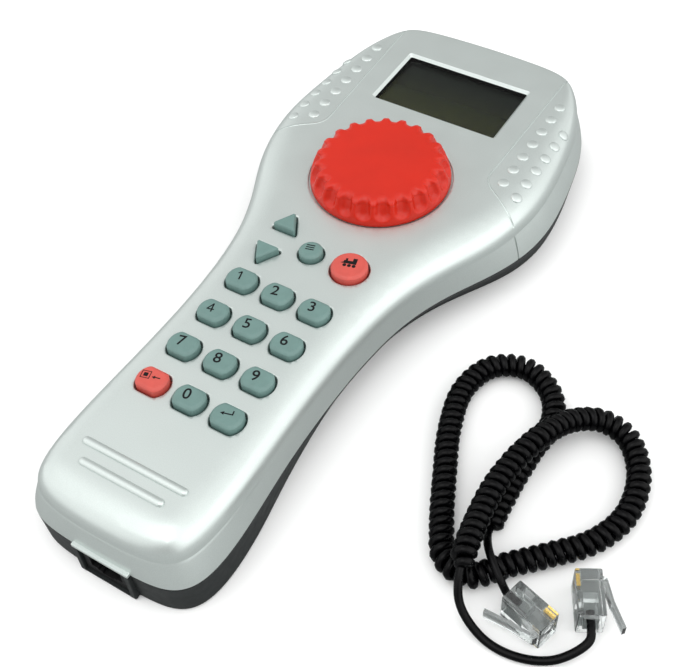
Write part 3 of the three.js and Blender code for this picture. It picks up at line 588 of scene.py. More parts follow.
def net_corners(edge):
    """Corners of the face's net: its edge, an even grid, and lines round the narrow dome."""
    grid = np.array([
        (x, y)
        for y in np.arange(-110, 112, NET_SPACING)
        for x in np.arange(-50, 51, NET_SPACING)
    ])
    distance, width = foot_distance(grid)
    narrow = grid[:, 1] > NARROW_DOME_Y
    needed = np.where(narrow, width + 0.6, STEEP_SHARES[-1] * width + 0.9)
    kept = (distance > needed) & inside_polygon(grid, edge)
    at_end = outline.points[:, 1] > NARROW_DOME_Y
    dome_points = [dome_line(share)[at_end] for share in NARROW_DOME_SHARES]
    return np.vstack([edge, grid[kept], *dome_points])


def front_outer():
    """Skirt and steep part of the dome as rings, the rest of the face as a fine net of triangles."""
    rings = steep_rings()
    points, faces = loft(rings)
    faces.pop()  # the last ring's cap gives way to the net
    edge = rings[-1][:, :2]
    count = len(edge)
    border = [(i, (i + 1) % count) for i in range(count)]
    corners = [Vector(corner) for corner in net_corners(edge)]
    net, _, triangles, origins, _, _ = delaunay_2d_cdt(corners, border, [], 0, 1e-6, True)
    places = np.array([tuple(corner) for corner in net])
    first_on_edge = len(points) - count
    index = []
    extra = []
    for place, height, origin in zip(places, surface_height(places), origins):
        on_edge = [i for i in origin if i < count]
        if on_edge:
            index.append(first_on_edge + on_edge[0])
            continue
        index.append(len(points) + len(extra))
        extra.append((*place, height))
    middles = np.array([places[list(corners)].mean(0) for corners in triangles])
    kept = inside_polygon(middles, edge)
    faces.extend(tuple(index[i] for i in face) for face, keep in zip(triangles, kept) if keep)
    return np.vstack([points, np.array(extra)]), faces


def inside_polygon(places, polygon):
    """Which points lie inside a closed polygon, by counting crossings to the right."""
    x, y = places[:, 0][:, None], places[:, 1][:, None]
    x0, y0 = polygon.T
    x1, y1 = np.roll(polygon, -1, 0).T
    crosses = (y0 > y) != (y1 > y)
    rise = np.where(y1 == y0, 1e-9, y1 - y0)
    return (crosses & (x < x0 + (y - y0) * (x1 - x0) / rise)).sum(1) % 2 == 1


def front_cavity():
    """Cutter that hollows out the front shell."""
    return stack([
        (outline.inset(WALL), JOINT_Z - 1),
        (outline.inset(outline.skirt + WALL), SKIRT_TOP),
        (outline.inset(outline.skirt + WALL + 0.45 * outline.shoulder), UNDERSIDE_Z),
    ])


LIP_ROUNDING = ((0, -0.45), (0.04, -0.22), (0.14, -0.08), (0.32, 0.0), (0.9, 0.3))


def lipped_hole(outline_at, bottom):
    """Cutter for a hole whose upper edge is rounded over; outline_at gives the outline for a growth."""
    pairs = [(outline_at(0), bottom)]
    pairs += [(outline_at(grow), FACE_Z + rise) for grow, rise in LIP_ROUNDING]
    return stack(pairs)


def display_rectangle(margin, radius):
    width = DISPLAY_WIDTH + 2 * margin
    height = DISPLAY_HEIGHT + 2 * margin
    return rounded_rectangle(width, height, radius, 0, DISPLAY_Y)


def display_cutter():
    """Cutter for the display opening: a pocket from inside, a sloping bezel and a soft edge."""
    ledge = FACE_Z - DISPLAY_DEPTH
    return stack([
        (display_rectangle(2.7, 0.6), UNDERSIDE_Z - 0.5),
        (display_rectangle(2.7, 0.6), ledge),
        (display_rectangle(-BEZEL_SLOPE, 0.5), ledge),
        (display_rectangle(-0.12, 0.7), FACE_Z - 0.3),
        (display_rectangle(0, 0.8), FACE_Z - 0.12),
        (display_rectangle(0.16, 0.9), FACE_Z),
        (display_rectangle(0.6, 1.2), FACE_Z + 0.3),
    ])


def knob_well():
    """Cutter for the recess under the knob, with the hole for its shaft."""
    floor = FACE_Z - WELL_DEPTH
    radius = KNOB_RADIUS + 0.5
    profile = [(3.9, UNDERSIDE_Z - 1), (3.9, floor), (radius, floor), (radius, FACE_Z - 0.35)]
    profile += [(radius + 0.06, FACE_Z - 0.14), (radius + 0.3, FACE_Z), (radius + 0.8, FACE_Z + 0.3)]
    return stack([(circle(r, 0, KNOB_Y, 144), z) for r, z in profile])


GROOVE_RADIUS = 0.34
GROOVE_POINTS = [
    (29.8, 102.4), (29.5, 95), (29.0, 75), (28.5, 55), (28.3, 49.5), (28.7, 46.6), (30.3, 44.2),
    (33.5, 41.8), (37.5, 39), (41.5, 36.7), (43.6, 35.6),
]


def groove_path(side):
    """Line between the grip panel and the face, over the shoulder and down the skirt."""
    curve = smooth_path([(x, y, 0) for x, y in GROOVE_POINTS], 60)
    path = [(x, y, z) for (x, y, _), z in zip(curve, surface_height(curve[:, :2]))]
    nearest = np.linalg.norm(outline.points - path[-1][:2], axis=1).argmin()
    lean = outline.inward[nearest] * outline.skirt[nearest]
    for share in (0.9, 0.6, 0.3, 0, -0.15):
        place = outline.points[nearest] + lean * share
        path.append((*place, JOINT_Z + (SKIRT_TOP - JOINT_Z) * share))
    return np.array(path) * (side, 1, 1)


def grip_bump(x, y):
    """A shallow dome on the face, standing square to it."""
    place, out = surface_frame(x, y)
    rings = [level(circle(BUMP_RADIUS, sides=20), -0.6)]
    for step in range(7):
        turn = math.pi / 2 * step / 6.5
        radius, height = BUMP_RADIUS * math.cos(turn), BUMP_HEIGHT * math.sin(turn)
        rings.append(level(circle(radius, sides=20), height))
    matrix = Matrix.Translation(place) @ out.to_track_quat("Z", "Y").to_matrix().to_4x4()
    return placed(loft(rings), matrix)


def grip_bumps():
    places = [
        (x, y + GRIP_BUMP_STEP * i)
        for x, y, count in GRIP_BUMP_ROWS
        for i in range(count)
    ]
    return [grip_bump(x, y) for x, y in both_sides(places)]


def grip_rib(half, y):
    """A raised half-round bar across the face, with round ends."""
    width, height = 1.2, 0.95
    rings = []
    for side in (-1, 1):
        for step in range(8):
            turn = math.pi / 2 * (step + 0.3) / 7.3
            turn = turn if side < 0 else math.pi / 2 - turn + 0.065
            size = math.sin(turn)
            x = side * (half + width * math.cos(turn))
            section = circle(1, sides=24) * (width * size, height * size)
            rings.append(np.column_stack([np.full(24, x), y + section[:, 0], FACE_Z + section[:, 1]]))
    return loft(rings)


def socket_lip():
    """The front shell's edge stands forward over the socket."""
    bottom = JOINT_Z + JOINT_GAP / 2
    levels = [(0.08, bottom), (0, bottom + 0.1), (0, bottom + 1), (0.12, bottom + 1.12)]
    return stack([
        (socket_rectangle(SOCKET_FRAME_WIDTH - 2 * inset, 2.6 - 2 * inset, 0.3), z)
        for inset, z in levels
    ])


def socket_rectangle(width, depth, radius, offset=0):
    """Rectangle at the end of the handset, centred on the socket or beside it."""
    return rounded_rectangle(width, depth, radius, SOCKET_X + offset, SOCKET_END_Y, 3)


def key_hole(key):
    return lipped_hole(lambda grow: key_outline(key, KEY_CLEARANCE + grow), UNDERSIDE_Z - 1)


def front_shell():
    piece = mesh_object("front_shell_fine", front_outer())
    cut(piece, front_cavity())
    root = UNDERSIDE_Z + 0.3
    housing_screws = both_sides(HOUSING_SCREWS)
    board_screws = both_sides(BOARD_SCREWS)
    bosses = [cylinder(FRONT_BOSS_RADIUS, SHELL_BOSS_Z + FIT, root, x, y) for x, y in housing_screws]
    posts = [cylinder(BOARD_POST_RADIUS, BOARD_TOP_Z + FIT, root, x, y) for x, y in board_screws]
    ribs = [grip_rib(half, y) for half, y in GRIP_RIBS]
    join(piece, *bosses, *posts, *grip_bumps(), *ribs, socket_lip())
    pilots = [cylinder(1.5, 0, 20, x, y) for x, y in housing_screws]
    post_holes = [cylinder(1, 14, 22, x, y) for x, y in board_screws]
    holes = [key_hole(key) for key in KEYS]
    cut(piece, *pilots, *post_holes, *holes, display_cutter(), knob_well())
    cut(piece, *[swept(groove_path(side), GROOVE_RADIUS) for side in (1, -1)])
    dress(piece, silver.material, "housing", 32, ["front_shell"])


# ---------- rear shell


def screw_recess(x, y):
    """Cutter for a housing screw's head seat and shank, with a softened rim."""
    levels = [(3.5, -1), (3.3, 0), (3.1, 0.25), (3.1, 3.2), (1.7, 3.2), (1.7, SHELL_BOSS_Z + 1)]
    return stack([(circle(radius, x, y, 32), z) for radius, z in levels])


def socket_frame():
    """Upright cheeks on both sides of the socket opening and the sill between them."""
    top = JOINT_Z - JOINT_GAP / 2
    width = (SOCKET_FRAME_WIDTH - SOCKET_WIDTH) / 2
    middle = (SOCKET_WIDTH + width) / 2
    levels = [(-0.4, 0.4), (0, 0.8), (0, top - 0.12), (-0.1, top)]
    cheeks = [
        stack([(socket_rectangle(width + grow, 2.5 + grow, 0.25, x), z) for grow, z in levels])
        for x in (-middle, middle)
    ]
    sill = stack([
        (socket_rectangle(SOCKET_WIDTH + 0.8, depth, 0.1), z)
        for depth, z in [(2.1, 0.4), (2.4, 0.7), (2.4, SOCKET_FLOOR_Z)]
    ])
    return cheeks, sill


def rear_shell():
    joint = JOINT_Z - JOINT_GAP / 2
    tongue_lean = (TONGUE_TOP_Z - JOINT_Z) / (SKIRT_TOP - JOINT_Z) * outline.skirt
    edge = 1.2
    taper = outline.rear
    piece = mesh_object("rear_shell_fine", stack([
        (outline.inset(taper + 1.2), 0),
        (outline.inset(taper + 0.75), 0.1),
        (outline.inset(taper + 0.35), 0.33),
        (outline.inset(taper + 0.1), 0.7),
        (outline.inset(taper), edge),
        (outline.inset(taper * 0.5), (edge + joint) / 2),
        (outline.inset(0), joint - 0.15),
        (outline.inset(0.15), joint),
    ]))
    join(piece, stack([
        (outline.inset(WALL + FIT), joint - 1),
        (outline.inset(WALL + FIT + tongue_lean), TONGUE_TOP_Z),
    ]))
    cut(piece, stack([
        (outline.inset(RIM + 0.9 * taper), WALL),
        (outline.inset(RIM), joint),
        (outline.inset(RIM + tongue_lean), TONGUE_TOP_Z + 1),
    ]))
    places = both_sides(HOUSING_SCREWS)
    cheeks, sill = socket_frame()
    bosses = [cylinder(SHELL_BOSS_RADIUS, 1, SHELL_BOSS_Z, x, y, 32) for x, y in places]
    join(piece, *bosses, *cheeks)
    join(piece, sill)
    opening = rounded_rectangle(SOCKET_WIDTH, 12, 0.3, SOCKET_X, -104, 3)
    socket = stack([(opening, SOCKET_FLOOR_Z), (opening, TONGUE_TOP_Z + 1)])
    cut(piece, *[screw_recess(x, y) for x, y in places], socket)
    dress(piece, anthracite.material, "housing", 32, ["rear_shell"])


# ---------- keys


def smooth_limit(value, limit, softness):
    """Value, held under a limit with a soft transition."""
    share = np.clip(0.5 + 0.5 * (limit - value) / softness, 0, 1)
    return limit * (1 - share) + value * share - softness * share * (1 - share)


def flattened_round(radius, half_depth, x, y, sides=72):
    """Round outline with its two long sides flattened."""
    points = circle(radius, sides=sides)
    depth = smooth_limit(np.abs(points[:, 1]), half_depth, 0.5)
    return np.column_stack([x + points[:, 0], y + np.sign(points[:, 1]) * depth])


def rounded_triangle(size, corner, x, y, up):
    """Triangle with rounded corners; up is 1 or -1."""
    points = []
    for third in range(3):
        facing = math.pi * (0.5 * up + 2 * third / 3)
        for swing in range(-60, 61, 12):
            turn = facing + math.radians(swing)
            points.append((
                x + (size - 2 * corner) * math.cos(facing) + corner * math.cos(turn),
                y + (size - 2 * corner) * math.sin(facing) + corner * math.sin(turn),
            ))
    return np.array(points)


def new_key(name, label, kind, x, y, finish, **sizes):
    return {"name": name, "label": label, "kind": kind, "place": (x, y), "finish": finish, **sizes}


def oval_key(name, label, column, row, finish=key_grey):
    return new_key(name, label, "oval", column * KEY_PITCH_X, ZERO_KEY_Y + row * KEY_PITCH_Y, finish)


def digit_key(digit):
    """Digits 1 to 9 stand in three rows of three, with 1 to 3 at the top."""
    row, column = divmod(digit - 1, 3)
    return oval_key(f"key_{digit}", str(digit), column - 1, 3 - row)


def round_key(name, label, x, radius, finish):
    return new_key(name, label, "round", x, ROUND_KEY_Y, finish, radius=radius)


def arrow_key(name, up):
    """A triangular key; up is 1 or -1."""
    return new_key(name, None, "arrow", ARROW_KEY_X, ROUND_KEY_Y + up * ARROW_KEY_STEP, key_grey, up=up)


KEYS = [
    oval_key("key_stop", "stop", -1, 0, key_red),
    oval_key("key_0", "0", 0, 0),
    oval_key("key_enter", "enter", 1, 0),
    *[digit_key(digit) for digit in (7, 8, 9, 4, 5, 6, 1, 2, 3)],
    round_key("key_menu", "menu", MENU_KEY_X, MENU_KEY_RADIUS, key_grey),
    round_key("key_engine", "engine", ENGINE_KEY_X, ENGINE_KEY_RADIUS, key_red),
    arrow_key("key_up", 1),
    arrow_key("key_down", -1),
]


def key_outline(key, grow):
    """Outline of a key's side wall, grown by a distance."""
    x, y = key["place"]
    if key["kind"] == "oval":
        return flattened_round(OVAL_RADIUS + grow, OVAL_HALF_DEPTH + grow, x, y)
    if key["kind"] == "arrow":
        corner = max(0.25, 0.45 + 0.5 * grow)
        return rounded_triangle(ARROW_REACH + 1.8 * grow, corner, x, y, key["up"])
    return circle(key["radius"] + grow, x, y, 72)


def key_piece(key):
    """Retaining flange, straight wall, chamfer with softened edges and a flat top."""
    chamfer = 0.45 if key["kind"] == "arrow" else 0.85
    drop = 0.45 if key["kind"] == "arrow" else 0.7
    soft = 0.14
    profile = [
        (KEY_FLANGE, FLANGE_BOTTOM_Z),
        (KEY_FLANGE, FLANGE_TOP_Z),
        (0, FLANGE_TOP_Z),
        (0, KEY_TOP_Z - drop - soft),
        (-0.05, KEY_TOP_Z - drop),
        (-0.16, KEY_TOP_Z - drop + soft),
        (-chamfer + 0.16, KEY_TOP_Z - soft * 0.7),
        (-chamfer, KEY_TOP_Z - 0.03),
        (-chamfer - 0.2, KEY_TOP_Z),
    ]
    cap = stack([(key_outline(key, grow), z) for grow, z in profile])
    piece = mesh_object(key["name"] + "_cap", cap)
    dress(piece, key["finish"].material, key["name"] + "_body", 50, [key["name"]])


PRINT_THICKNESS = 0.03
LEGEND_TURN = math.radians(14.5)  # the legends are turned a little anticlockwise
DIGIT_HEIGHT = 4.7  # font size
DIGIT_BOLDNESS = 0.05


def flat_bar(x0, y0, x1, y1, width):
    """A printed stroke between two points."""
    start, end = np.array((x0, y0)), np.array((x1, y1))
    way = (end - start) / np.linalg.norm(end - start)
    side = np.array((-way[1], way[0])) * width / 2
    return [start - side, end - side, end + side, start + side]


def box_outline(x0, y0, x1, y1):
    return [(x0, y0), (x1, y0), (x1, y1), (x0, y1)]


# Printed shapes, from the middle of the legend. The digits 1 and 4 are drawn here too: at this
# size the built-in font shows no flag on its 1 and fills in its 4.
SYMBOLS = {
    "1": [flat_bar(0.35, -1.5, 0.35, 1.5, 0.42), flat_bar(-0.5, 0.75, 0.3, 1.4, 0.36)],
    "4": [
        flat_bar(0.45, -1.5, 0.45, 1.5, 0.4), flat_bar(-1.0, -0.6, 1.1, -0.6, 0.36),
        flat_bar(-0.9, -0.6, 0.45, 1.35, 0.34),
    ],
    "stop": [
        flat_bar(-2.9, -1.1, -2.9, 1.3, 0.2), flat_bar(-0.5, -1.1, -0.5, 1.3, 0.2),
        flat_bar(-2.8, -1, -0.6, -1, 0.2), flat_bar(-2.8, 1.2, -0.6, 1.2, 0.2),
        box_outline(-2.3, -0.5, -1.1, 0.7),
        [(0.1, -0.3), (1.0, -0.8), (1.0, 0.2)], flat_bar(1.0, -0.3, 2.5, -0.3, 0.3),
    ],
    "enter": [
        [(-1.8, -0.2), (-0.75, -0.75), (-0.75, 0.35)], flat_bar(-0.75, -0.2, 1.4, -0.2, 0.36),
        flat_bar(1.58, -0.38, 1.58, 1.0, 0.36),
    ],
    "menu": [flat_bar(-1.25, y, 1.25, y, 0.34) for y in (-0.8, 0, 0.8)],
    "engine": [
        box_outline(-1.6, -0.5, 2.1, 0.6), box_outline(0.9, 0.6, 2.1, 1.7),
        box_outline(-1.2, 0.6, -0.6, 1.4),
        [(-2.4, -0.5), (-1.6, -0.5), (-1.6, 0.05)],
        *[[tuple(point) for point in circle(0.55, x, -1.15, 20)] for x in (-1.05, 0.3, 1.65)],
    ],
}
DIGIT_PLACE = (-0.75, 0.25)  # from the middle of the key
SYMBOL_PLACES = {
    "stop": (-0.3, 0.5),
    "enter": (-0.3, 0.5),
    "menu": (-0.4, 0.5),
    "engine": (-0.5, 0.8),
}


def symbol_piece(key):
    """A legend drawn from the shapes in SYMBOLS."""
    offset = SYMBOL_PLACES.get(key["label"], DIGIT_PLACE)
    place = np.add(key["place"], offset)
    turn = np.array(Matrix.Rotation(LEGEND_TURN, 2))
    solids = []
    for shape in SYMBOLS[key["label"]]:
        flat = np.array(shape, float) @ turn.T + place
        solids.append(stack([(flat, KEY_TOP_Z - 0.02), (flat, KEY_TOP_Z + PRINT_THICKNESS)]))
    piece = mesh_object(key["name"] + "_print", merged(solids))
    dress(piece, print_black.material, key["name"] + "_body", 30)


def digit_piece(key):
    """A legend set in Blender's built-in font."""
    curve = bpy.data.curves.new(key["name"] + "_print", "FONT")
    curve.body = key["label"]
    curve.size = DIGIT_HEIGHT * MM
    curve.offset = DIGIT_BOLDNESS * MM
    curve.align_x = "CENTER"
    curve.align_y = "CENTER"
    curve.extrude = PRINT_THICKNESS * MM / 2
    curve.resolution_u = 6
    text = add_object("text", curve)
    graph = bpy.context.evaluated_depsgraph_get()
    mesh = bpy.data.meshes.new_from_object(text.evaluated_get(graph))
    bpy.data.objects.remove(text)
    x, y = key["place"]
    place = Vector((x + DIGIT_PLACE[0], y + DIGIT_PLACE[1], KEY_TOP_Z + 0.01)) * MM
    mesh.transform(Matrix.Translation(place) @ Matrix.Rotation(LEGEND_TURN, 4, "Z"))
    piece = add_object(key["name"] + "_print", mesh)
    dress(piece, print_black.material, key["name"] + "_body", 30)


def keypad():
    for key in KEYS:
        key_piece(key)
        if key["label"] in SYMBOLS:
            symbol_piece(key)
        elif key["label"]:
            digit_piece(key)


# ---------- speed knob

KNOB_BASE_Z = FACE_Z - WELL_DEPTH + 0.4
SCOOP_DEPTH = 1.5
SCOOP_FOOT_Z = 28.3
SCOOP_ROUND = 2.4  # height over which a scoop's lower end rounds off
SCOOP_SHARE = 0.9  # width of a scoop in its share of the circle, low on the flank
SCOOP_TOP_SHARE = 0.7  # and at the flat top
EDGE_HEIGHT = 1.7  # rounding between the flank and the flat top
EDGE_WIDTH = 2.6


def knob_profile():
    """Outer radius and height from the foot to the flat top."""
    flank = [
        (KNOB_RADIUS - 0.12, KNOB_BASE_Z),
        (KNOB_RADIUS, KNOB_BASE_Z + 0.15),
        (KNOB_RADIUS, KNOB_BASE_Z + 0.7),
    ]
    steps = 26
    for step in range(steps + 1):
        share = step / steps
        z = KNOB_BASE_Z + 0.9 + (KNOB_TOP_Z - EDGE_HEIGHT - KNOB_BASE_Z - 0.9) * share
        flank.append((KNOB_RADIUS - 0.05 - 1.6 * share ** 1.6, z))
    edge_radius = flank[-1][0]
    for step in range(1, 15):
        turn = math.pi / 2 * step / 14
        radius = edge_radius - EDGE_WIDTH * (1 - math.cos(turn))
        flank.append((radius, KNOB_TOP_Z - EDGE_HEIGHT * (1 - math.sin(turn))))
    return flank


def knob_ring(radius, z, sides):
    """A ring of the knob, drawn in where the finger scoops are."""
    turn = np.arange(sides) * 2 * math.pi / sides
    up_the_edge = max(0.0, z - KNOB_TOP_Z + EDGE_HEIGHT) / EDGE_HEIGHT
    share = SCOOP_SHARE + (SCOOP_TOP_SHARE - SCOOP_SHARE) * up_the_edge
    across = np.abs((turn * KNOB_SCOOPS / (2 * math.pi)) % 1 - 0.5) * 2 / share
    below = max(0.0, (SCOOP_FOOT_Z + SCOOP_ROUND - z) / SCOOP_ROUND)
    bite = np.clip(1 - across ** 2 - below ** 2, 0, 1)
    bite = bite ** 2 * (3 - 2 * bite)
    reach = radius - SCOOP_DEPTH * bite
    return np.column_stack([reach * np.cos(turn), KNOB_Y + reach * np.sin(turn), np.full(sides, z)])


def evened_ring(ring, share):
    """A smaller ring inside one of the flat top, closer to a circle."""
    inner = ring[:, :2] - (0, KNOB_Y)
    radius = np.linalg.norm(inner, axis=1)
    reach = radius * 0.4 + radius.mean() * share * 0.6
    place = inner / radius[:, None] * reach[:, None] + (0, KNOB_Y)
    return level(place, KNOB_TOP_Z + 0.04 * (1 - share))


def speed_knob():
    sides = KNOB_SCOOPS * 24
    hollow = [(2.85, 32.3), (2.85, 29.3), (4.8, 29.3), (4.8, 31.9), (16.4, 31.9), (16.4, KNOB_BASE_Z)]
    rings = [level(circle(radius, 0, KNOB_Y, sides), z) for radius, z in hollow]
    rings += [knob_ring(radius, z, sides) for radius, z in knob_profile()]
    for share in (0.96, 0.9, 0.8):
        rings.append(evened_ring(rings[-1], share))
    piece = mesh_object("speed_knob_fine", loft(rings))
    dress(piece, knob_red.material, "knob", 45, ["speed_knob"])


# ---------- coiled cord

COIL_RADIUS = 3.4
WIRE_RADIUS = 1.1
COIL_PITCH = 2.55
COIL_THICKENING = 0.1  # the wire looks this much thicker where it is wound
COIL_LOW = COIL_RADIUS + 0.1
COIL_HIGH = 3 * COIL_RADIUS + 0.5
COIL_FADE = 2.4  # length over which the wire swings out into the coil
WIRE_STEP = 0.2
TAIL_A = [
    (93.9, -61.8, 4.9), (90.6, -60.8, 4.9), (86.6, -58.6, 7.6), (82.6, -55.2, 8.6),
    (79.6, -50.8, 6.4),
]
COIL = [
    (77.7, -46, COIL_LOW), (76.7, -34, COIL_LOW), (76.6, -20.5, COIL_LOW), (77.2, -7.5, COIL_LOW),
    (72.5, 1, COIL_LOW), (63, 5.2, COIL_LOW), (54.5, 1, COIL_LOW), (51.2, -9.5, COIL_LOW),
    (54, -23, COIL_LOW), (60, -37, COIL_LOW), (67, -51.5, COIL_LOW), (72, -59, COIL_LOW),
    (79.2, -60.2, COIL_LOW), (86, -53, COIL_LOW), (94, -45, COIL_LOW), (102, -36, COIL_LOW),
    (106, -25, COIL_LOW), (104, -12, COIL_LOW), (97, -3, COIL_LOW + 0.4), (89.5, -2, COIL_LOW + 1.6),
    (82.4, -8, 7.7), (77.8, -20, COIL_HIGH), (75, -34, COIL_HIGH), (75.2, -46, COIL_HIGH),
    (78.3, -63, COIL_HIGH),
]
TAIL_B = [
    (81.6, -69, 5.5), (90, -72.4, 1.6), (99, -72.2, 1.3), (107, -68.5, 2),
    (112, -61.5, 4.3), (110.9, -58.1, 4.9), (109.1, -55, 4.9),
]


def cord_piece():
    """One wire that runs straight, winds round the coil's path and runs straight again."""
    path = smooth_path([*TAIL_A, *COIL, *TAIL_B], 2400)
    length = length_along(path)
    start, end = [length[np.linalg.norm(path - COIL[i], axis=1).argmin()] for i in (0, -1)]
    run = np.arange(0, length[-1], WIRE_STEP)
    wound = np.clip(np.minimum(run - start, end - run) / COIL_FADE, 0, 1)
    wound = wound ** 2 * (3 - 2 * wound)
    swing = (COIL_RADIUS - WIRE_RADIUS - COIL_THICKENING) * wound
    turn = 2 * math.pi * np.clip(run - start, 0, end - start) / COIL_PITCH
    wire = []
    frames = frames_along(points_at(run, path, length))
    for (place, side, up), reach, angle in zip(frames, swing, turn):
        wire.append(place + reach * (math.cos(angle) * side + math.sin(angle) * up))
    piece = mesh_object("cord_wire", swept(wire, WIRE_RADIUS + COIL_THICKENING * wound))
    dress(piece, cord_black.material, "cord_set", 80, ["cord"])


# ---------- plugs

# Plugs lie on their side: in a plug's own frame its nose points along +Y, its latch is on the
# +X side and the origin is the middle of the cable end.
PLUG_WIDTH = 9.6
PLUG_THICKNESS = 6.6
PLUG_LENGTH = 12.3
PLUG_MIDDLE_Z = PLUG_WIDTH / 2 + 0.1
PLUG_EDGES = [(0.3, 0), (0.08, 0.09), (0, 0.3)]  # inset and distance from the end of the rounding
PLUGS = {"plug_a": (91, -61, -106), "plug_b": (110.6, -57.6, 29)}  # x, y, heading in degrees
CONTACT_HEIGHTS = (-1.53, -0.51, 0.51, 1.53)


def plug_block(width, length, bottom, top, x, y):
    """Cutter with slightly round corners, in the plug's own frame."""
    shape = rounded_rectangle(width, length, 0.12, x, y, 3)
    return stack([(shape, bottom), (shape, top)])


def plug_housing():
    """The plug's outside, with bevelled edges, in the plug's own frame."""
    half = PLUG_WIDTH / 2
    levels = [(inset, rise - half) for inset, rise in PLUG_EDGES]
    levels += [(inset, half - rise) for inset, rise in reversed(PLUG_EDGES)]
    return stack([
        (rounded_rectangle(
            PLUG_THICKNESS - 2 * inset, PLUG_LENGTH - 2 * inset, 0.35, 0, PLUG_LENGTH / 2, 4,
        ), z)
        for inset, z in levels
    ])


def plug_body(name, x, y, heading):
    """Clear housing with its cable opening, strain relief pocket and contact slots."""
    turn = Matrix.Rotation(math.radians(heading), 4, "Z")
    matrix = Matrix.Translation((x, y, PLUG_MIDDLE_Z)) @ turn
    piece = mesh_object(name + "_housing", placed(plug_housing(), matrix))
    slots = [plug_block(3.2, 5, z - 0.3, z + 0.3, -3.3, PLUG_LENGTH - 1.5) for z in CONTACT_HEIGHTS]
    cut(piece, placed(plug_block(3.6, 8, -2.6, 2.6, 0, 2.5), matrix))
    cut(piece, placed(plug_block(2.2, 3, -2.4, 2.4, -2.9, 3.4), matrix))
    cut(piece, *[placed(slot, matrix) for slot in slots])
    dress(piece, clear.material, "cord_set", 25, [name + "_body"])


# ---------- carried-over CAD pieces

CARRIED = {
    "display_window": window_clear,
    "display_panel": display_glass,
    "display_frame": black_plastic,
    "backlight": diffuser,
    "display_board": board_green,
    "ribbon_cable": ribbon_tan,
    "knob_shaft": steel,
    "encoder_body": steel,
    "encoder_washer": steel,
    "encoder_nut": steel,
    "main_board": board_green,
    "microcontroller": black_plastic,
    "line_driver": black_plastic,
    "supply_capacitor": black_plastic,
    "crystal": steel,
    "modular_jack": black_plastic,
    "keypad_mat": silicone,
    **{f"housing_screw_{i}": steel for i in range(1, 7)},
    **{f"board_screw_{i}": steel for i in range(1, 5)},
    **{f"{plug}_latch": clear for plug in PLUGS},
    **{f"{plug}_contact_{i}": gold for plug in PLUGS for i in range(1, 5)},
}


def finish_carried():
    """CAD pieces that are kept as they are get their material."""
    for name, finish in CARRIED.items():
        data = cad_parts[name].data
        data.materials.clear()
        data.materials.append(finish.material)


# ---------- floor, light and camera

# The studio is bright all round but for two dim patches: beyond the display end, where the flat
# face mirrors it, and low in front, where the foot of the dome mirrors it. Each is given by its
# direction and by tones at some cosines of the angle to that direction, where 1 is its middle.
SKY_BRIGHTNESS = 1.4
DIM_PATCHES = [
    ((-0.3, 0.85, 0.43), [(0.0, 1.0), (0.6, 0.96), (0.8, 0.71), (1.0, 0.29)]),
    ((0.35, -0.93, 0.02), [(0.0, 1.0), (0.7, 1.0), (0.9, 0.3), (1.0, 0.25)]),
]
PAPER_WHITE = (0.93, 0.935, 0.93)
PAPER_IN_REFLECTIONS = (0.3, 0.31, 0.31)
FLOOR_RADIUS = 2600


def patch_tone(tree, direction, way, tones):
    """Tone of one patch in the direction looked in."""
    toward = tree.nodes.new("ShaderNodeVectorMath")
    toward.operation = "DOT_PRODUCT"
    toward.inputs[1].default_value = Vector(way).normalized()
    tree.links.new(direction, toward.inputs[0])
    ramp = tree.nodes.new("ShaderNodeValToRGB")
    stops = ramp.color_ramp
    stops.interpolation = "EASE"
    while len(stops.elements) < len(tones):
        stops.elements.new(0.5)
    for stop, (place, value) in zip(stops.elements, tones):
        stop.position = place
        stop.color = (value, value, value, 1)
    tree.links.new(toward.outputs["Value"], ramp.inputs["Fac"])
    return ramp.outputs["Color"]


def sky(tree):
    """Brightness of the surroundings, as the product of the two patches' tones."""
    direction = tree.nodes.new("ShaderNodeTexCoord").outputs["Generated"]
    product = tree.nodes.new("ShaderNodeVectorMath")
    product.operation = "MULTIPLY"
    for i, (way, tones) in enumerate(DIM_PATCHES):
        tree.links.new(patch_tone(tree, direction, way, tones), product.inputs[i])
    return product.outputs["Vector"]


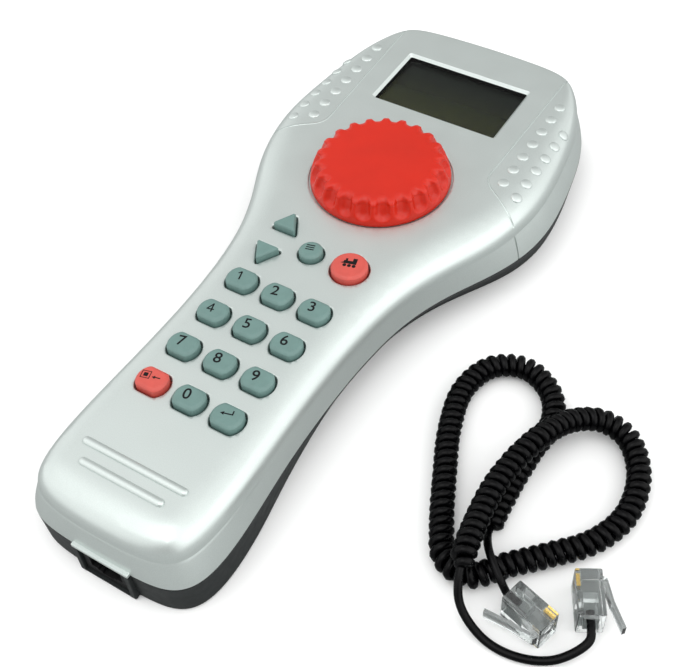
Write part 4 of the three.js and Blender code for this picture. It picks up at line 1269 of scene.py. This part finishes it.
def floor_finish():
    """White paper that looks grey in reflections, as if the studio round it were darker."""
    paper = Finish("paper_floor", (*PAPER_WHITE, 1), 0.85)
    glossy = paper.nodes.new("ShaderNodeLightPath").outputs["Is Glossy Ray"]
    tone = paper.ramp(glossy, PAPER_WHITE, PAPER_IN_REFLECTIONS, 0, 1)
    paper.links.new(tone, paper.shader.inputs["Base Color"])
    return paper


def studio():
    disc = circle(FLOOR_RADIUS, 30, 0, 64)
    floor = mesh_object("floor", stack([(disc, -2), (disc, -0.02)]))
    floor.data.materials.append(floor_finish().material)

    world = bpy.data.worlds.new("studio")
    world.use_nodes = True
    bpy.context.scene.world = world
    tree = world.node_tree
    background = tree.nodes["Background"]
    background.inputs["Strength"].default_value = SKY_BRIGHTNESS
    tree.links.new(sky(tree), background.inputs["Color"])

    soft_light("side", (0.9, 0.1, 0.6), (0.0, 0.0, 0.02), 1.1, 2.6)
    soft_light("above", (0.0, -0.4, 1.1), (0.0, -0.05, 0.01), 0.8, 2.8)


def soft_light(name, place, target, size, power):
    """A square area light; its place, target and size are in metres."""
    light = bpy.data.lights.new(name, "AREA")
    light.shape = "SQUARE"
    light.size = size
    light.energy = power
    lamp = add_object(name, light)
    lamp.location = place
    lamp.rotation_euler = (Vector(place) - Vector(target)).to_track_quat("Z", "Y").to_euler()


# The camera's place in millimetres, the directions of its right side and its back, and its lens.
CAMERA_PLACE = (136.1, -184.1, 260.8)
CAMERA_RIGHT = (0.849, 0.526, -0.053)
CAMERA_BACK = (0.3715, -0.5226, 0.7674)
CAMERA_LENS = 59.74


def camera():
    data = bpy.data.cameras.new("camera")
    data.lens = CAMERA_LENS
    data.sensor_width = 36
    data.clip_start = 0.01
    data.clip_end = 20
    eye = add_object("camera", data)
    back = Vector(CAMERA_BACK).normalized()
    right = (Vector(CAMERA_RIGHT) - back * back.dot(Vector(CAMERA_RIGHT))).normalized()
    up = back.cross(right)
    turn = Matrix((right, up, back)).transposed().to_4x4()
    eye.matrix_world = Matrix.Translation(Vector(CAMERA_PLACE) * MM) @ turn
    bpy.context.scene.camera = eye


front_shell()
rear_shell()
keypad()
speed_knob()
cord_piece()
for name, place in PLUGS.items():
    plug_body(name, *place)
finish_carried()
studio()
camera()
bpy.context.scene.view_settings.view_transform = "Standard"
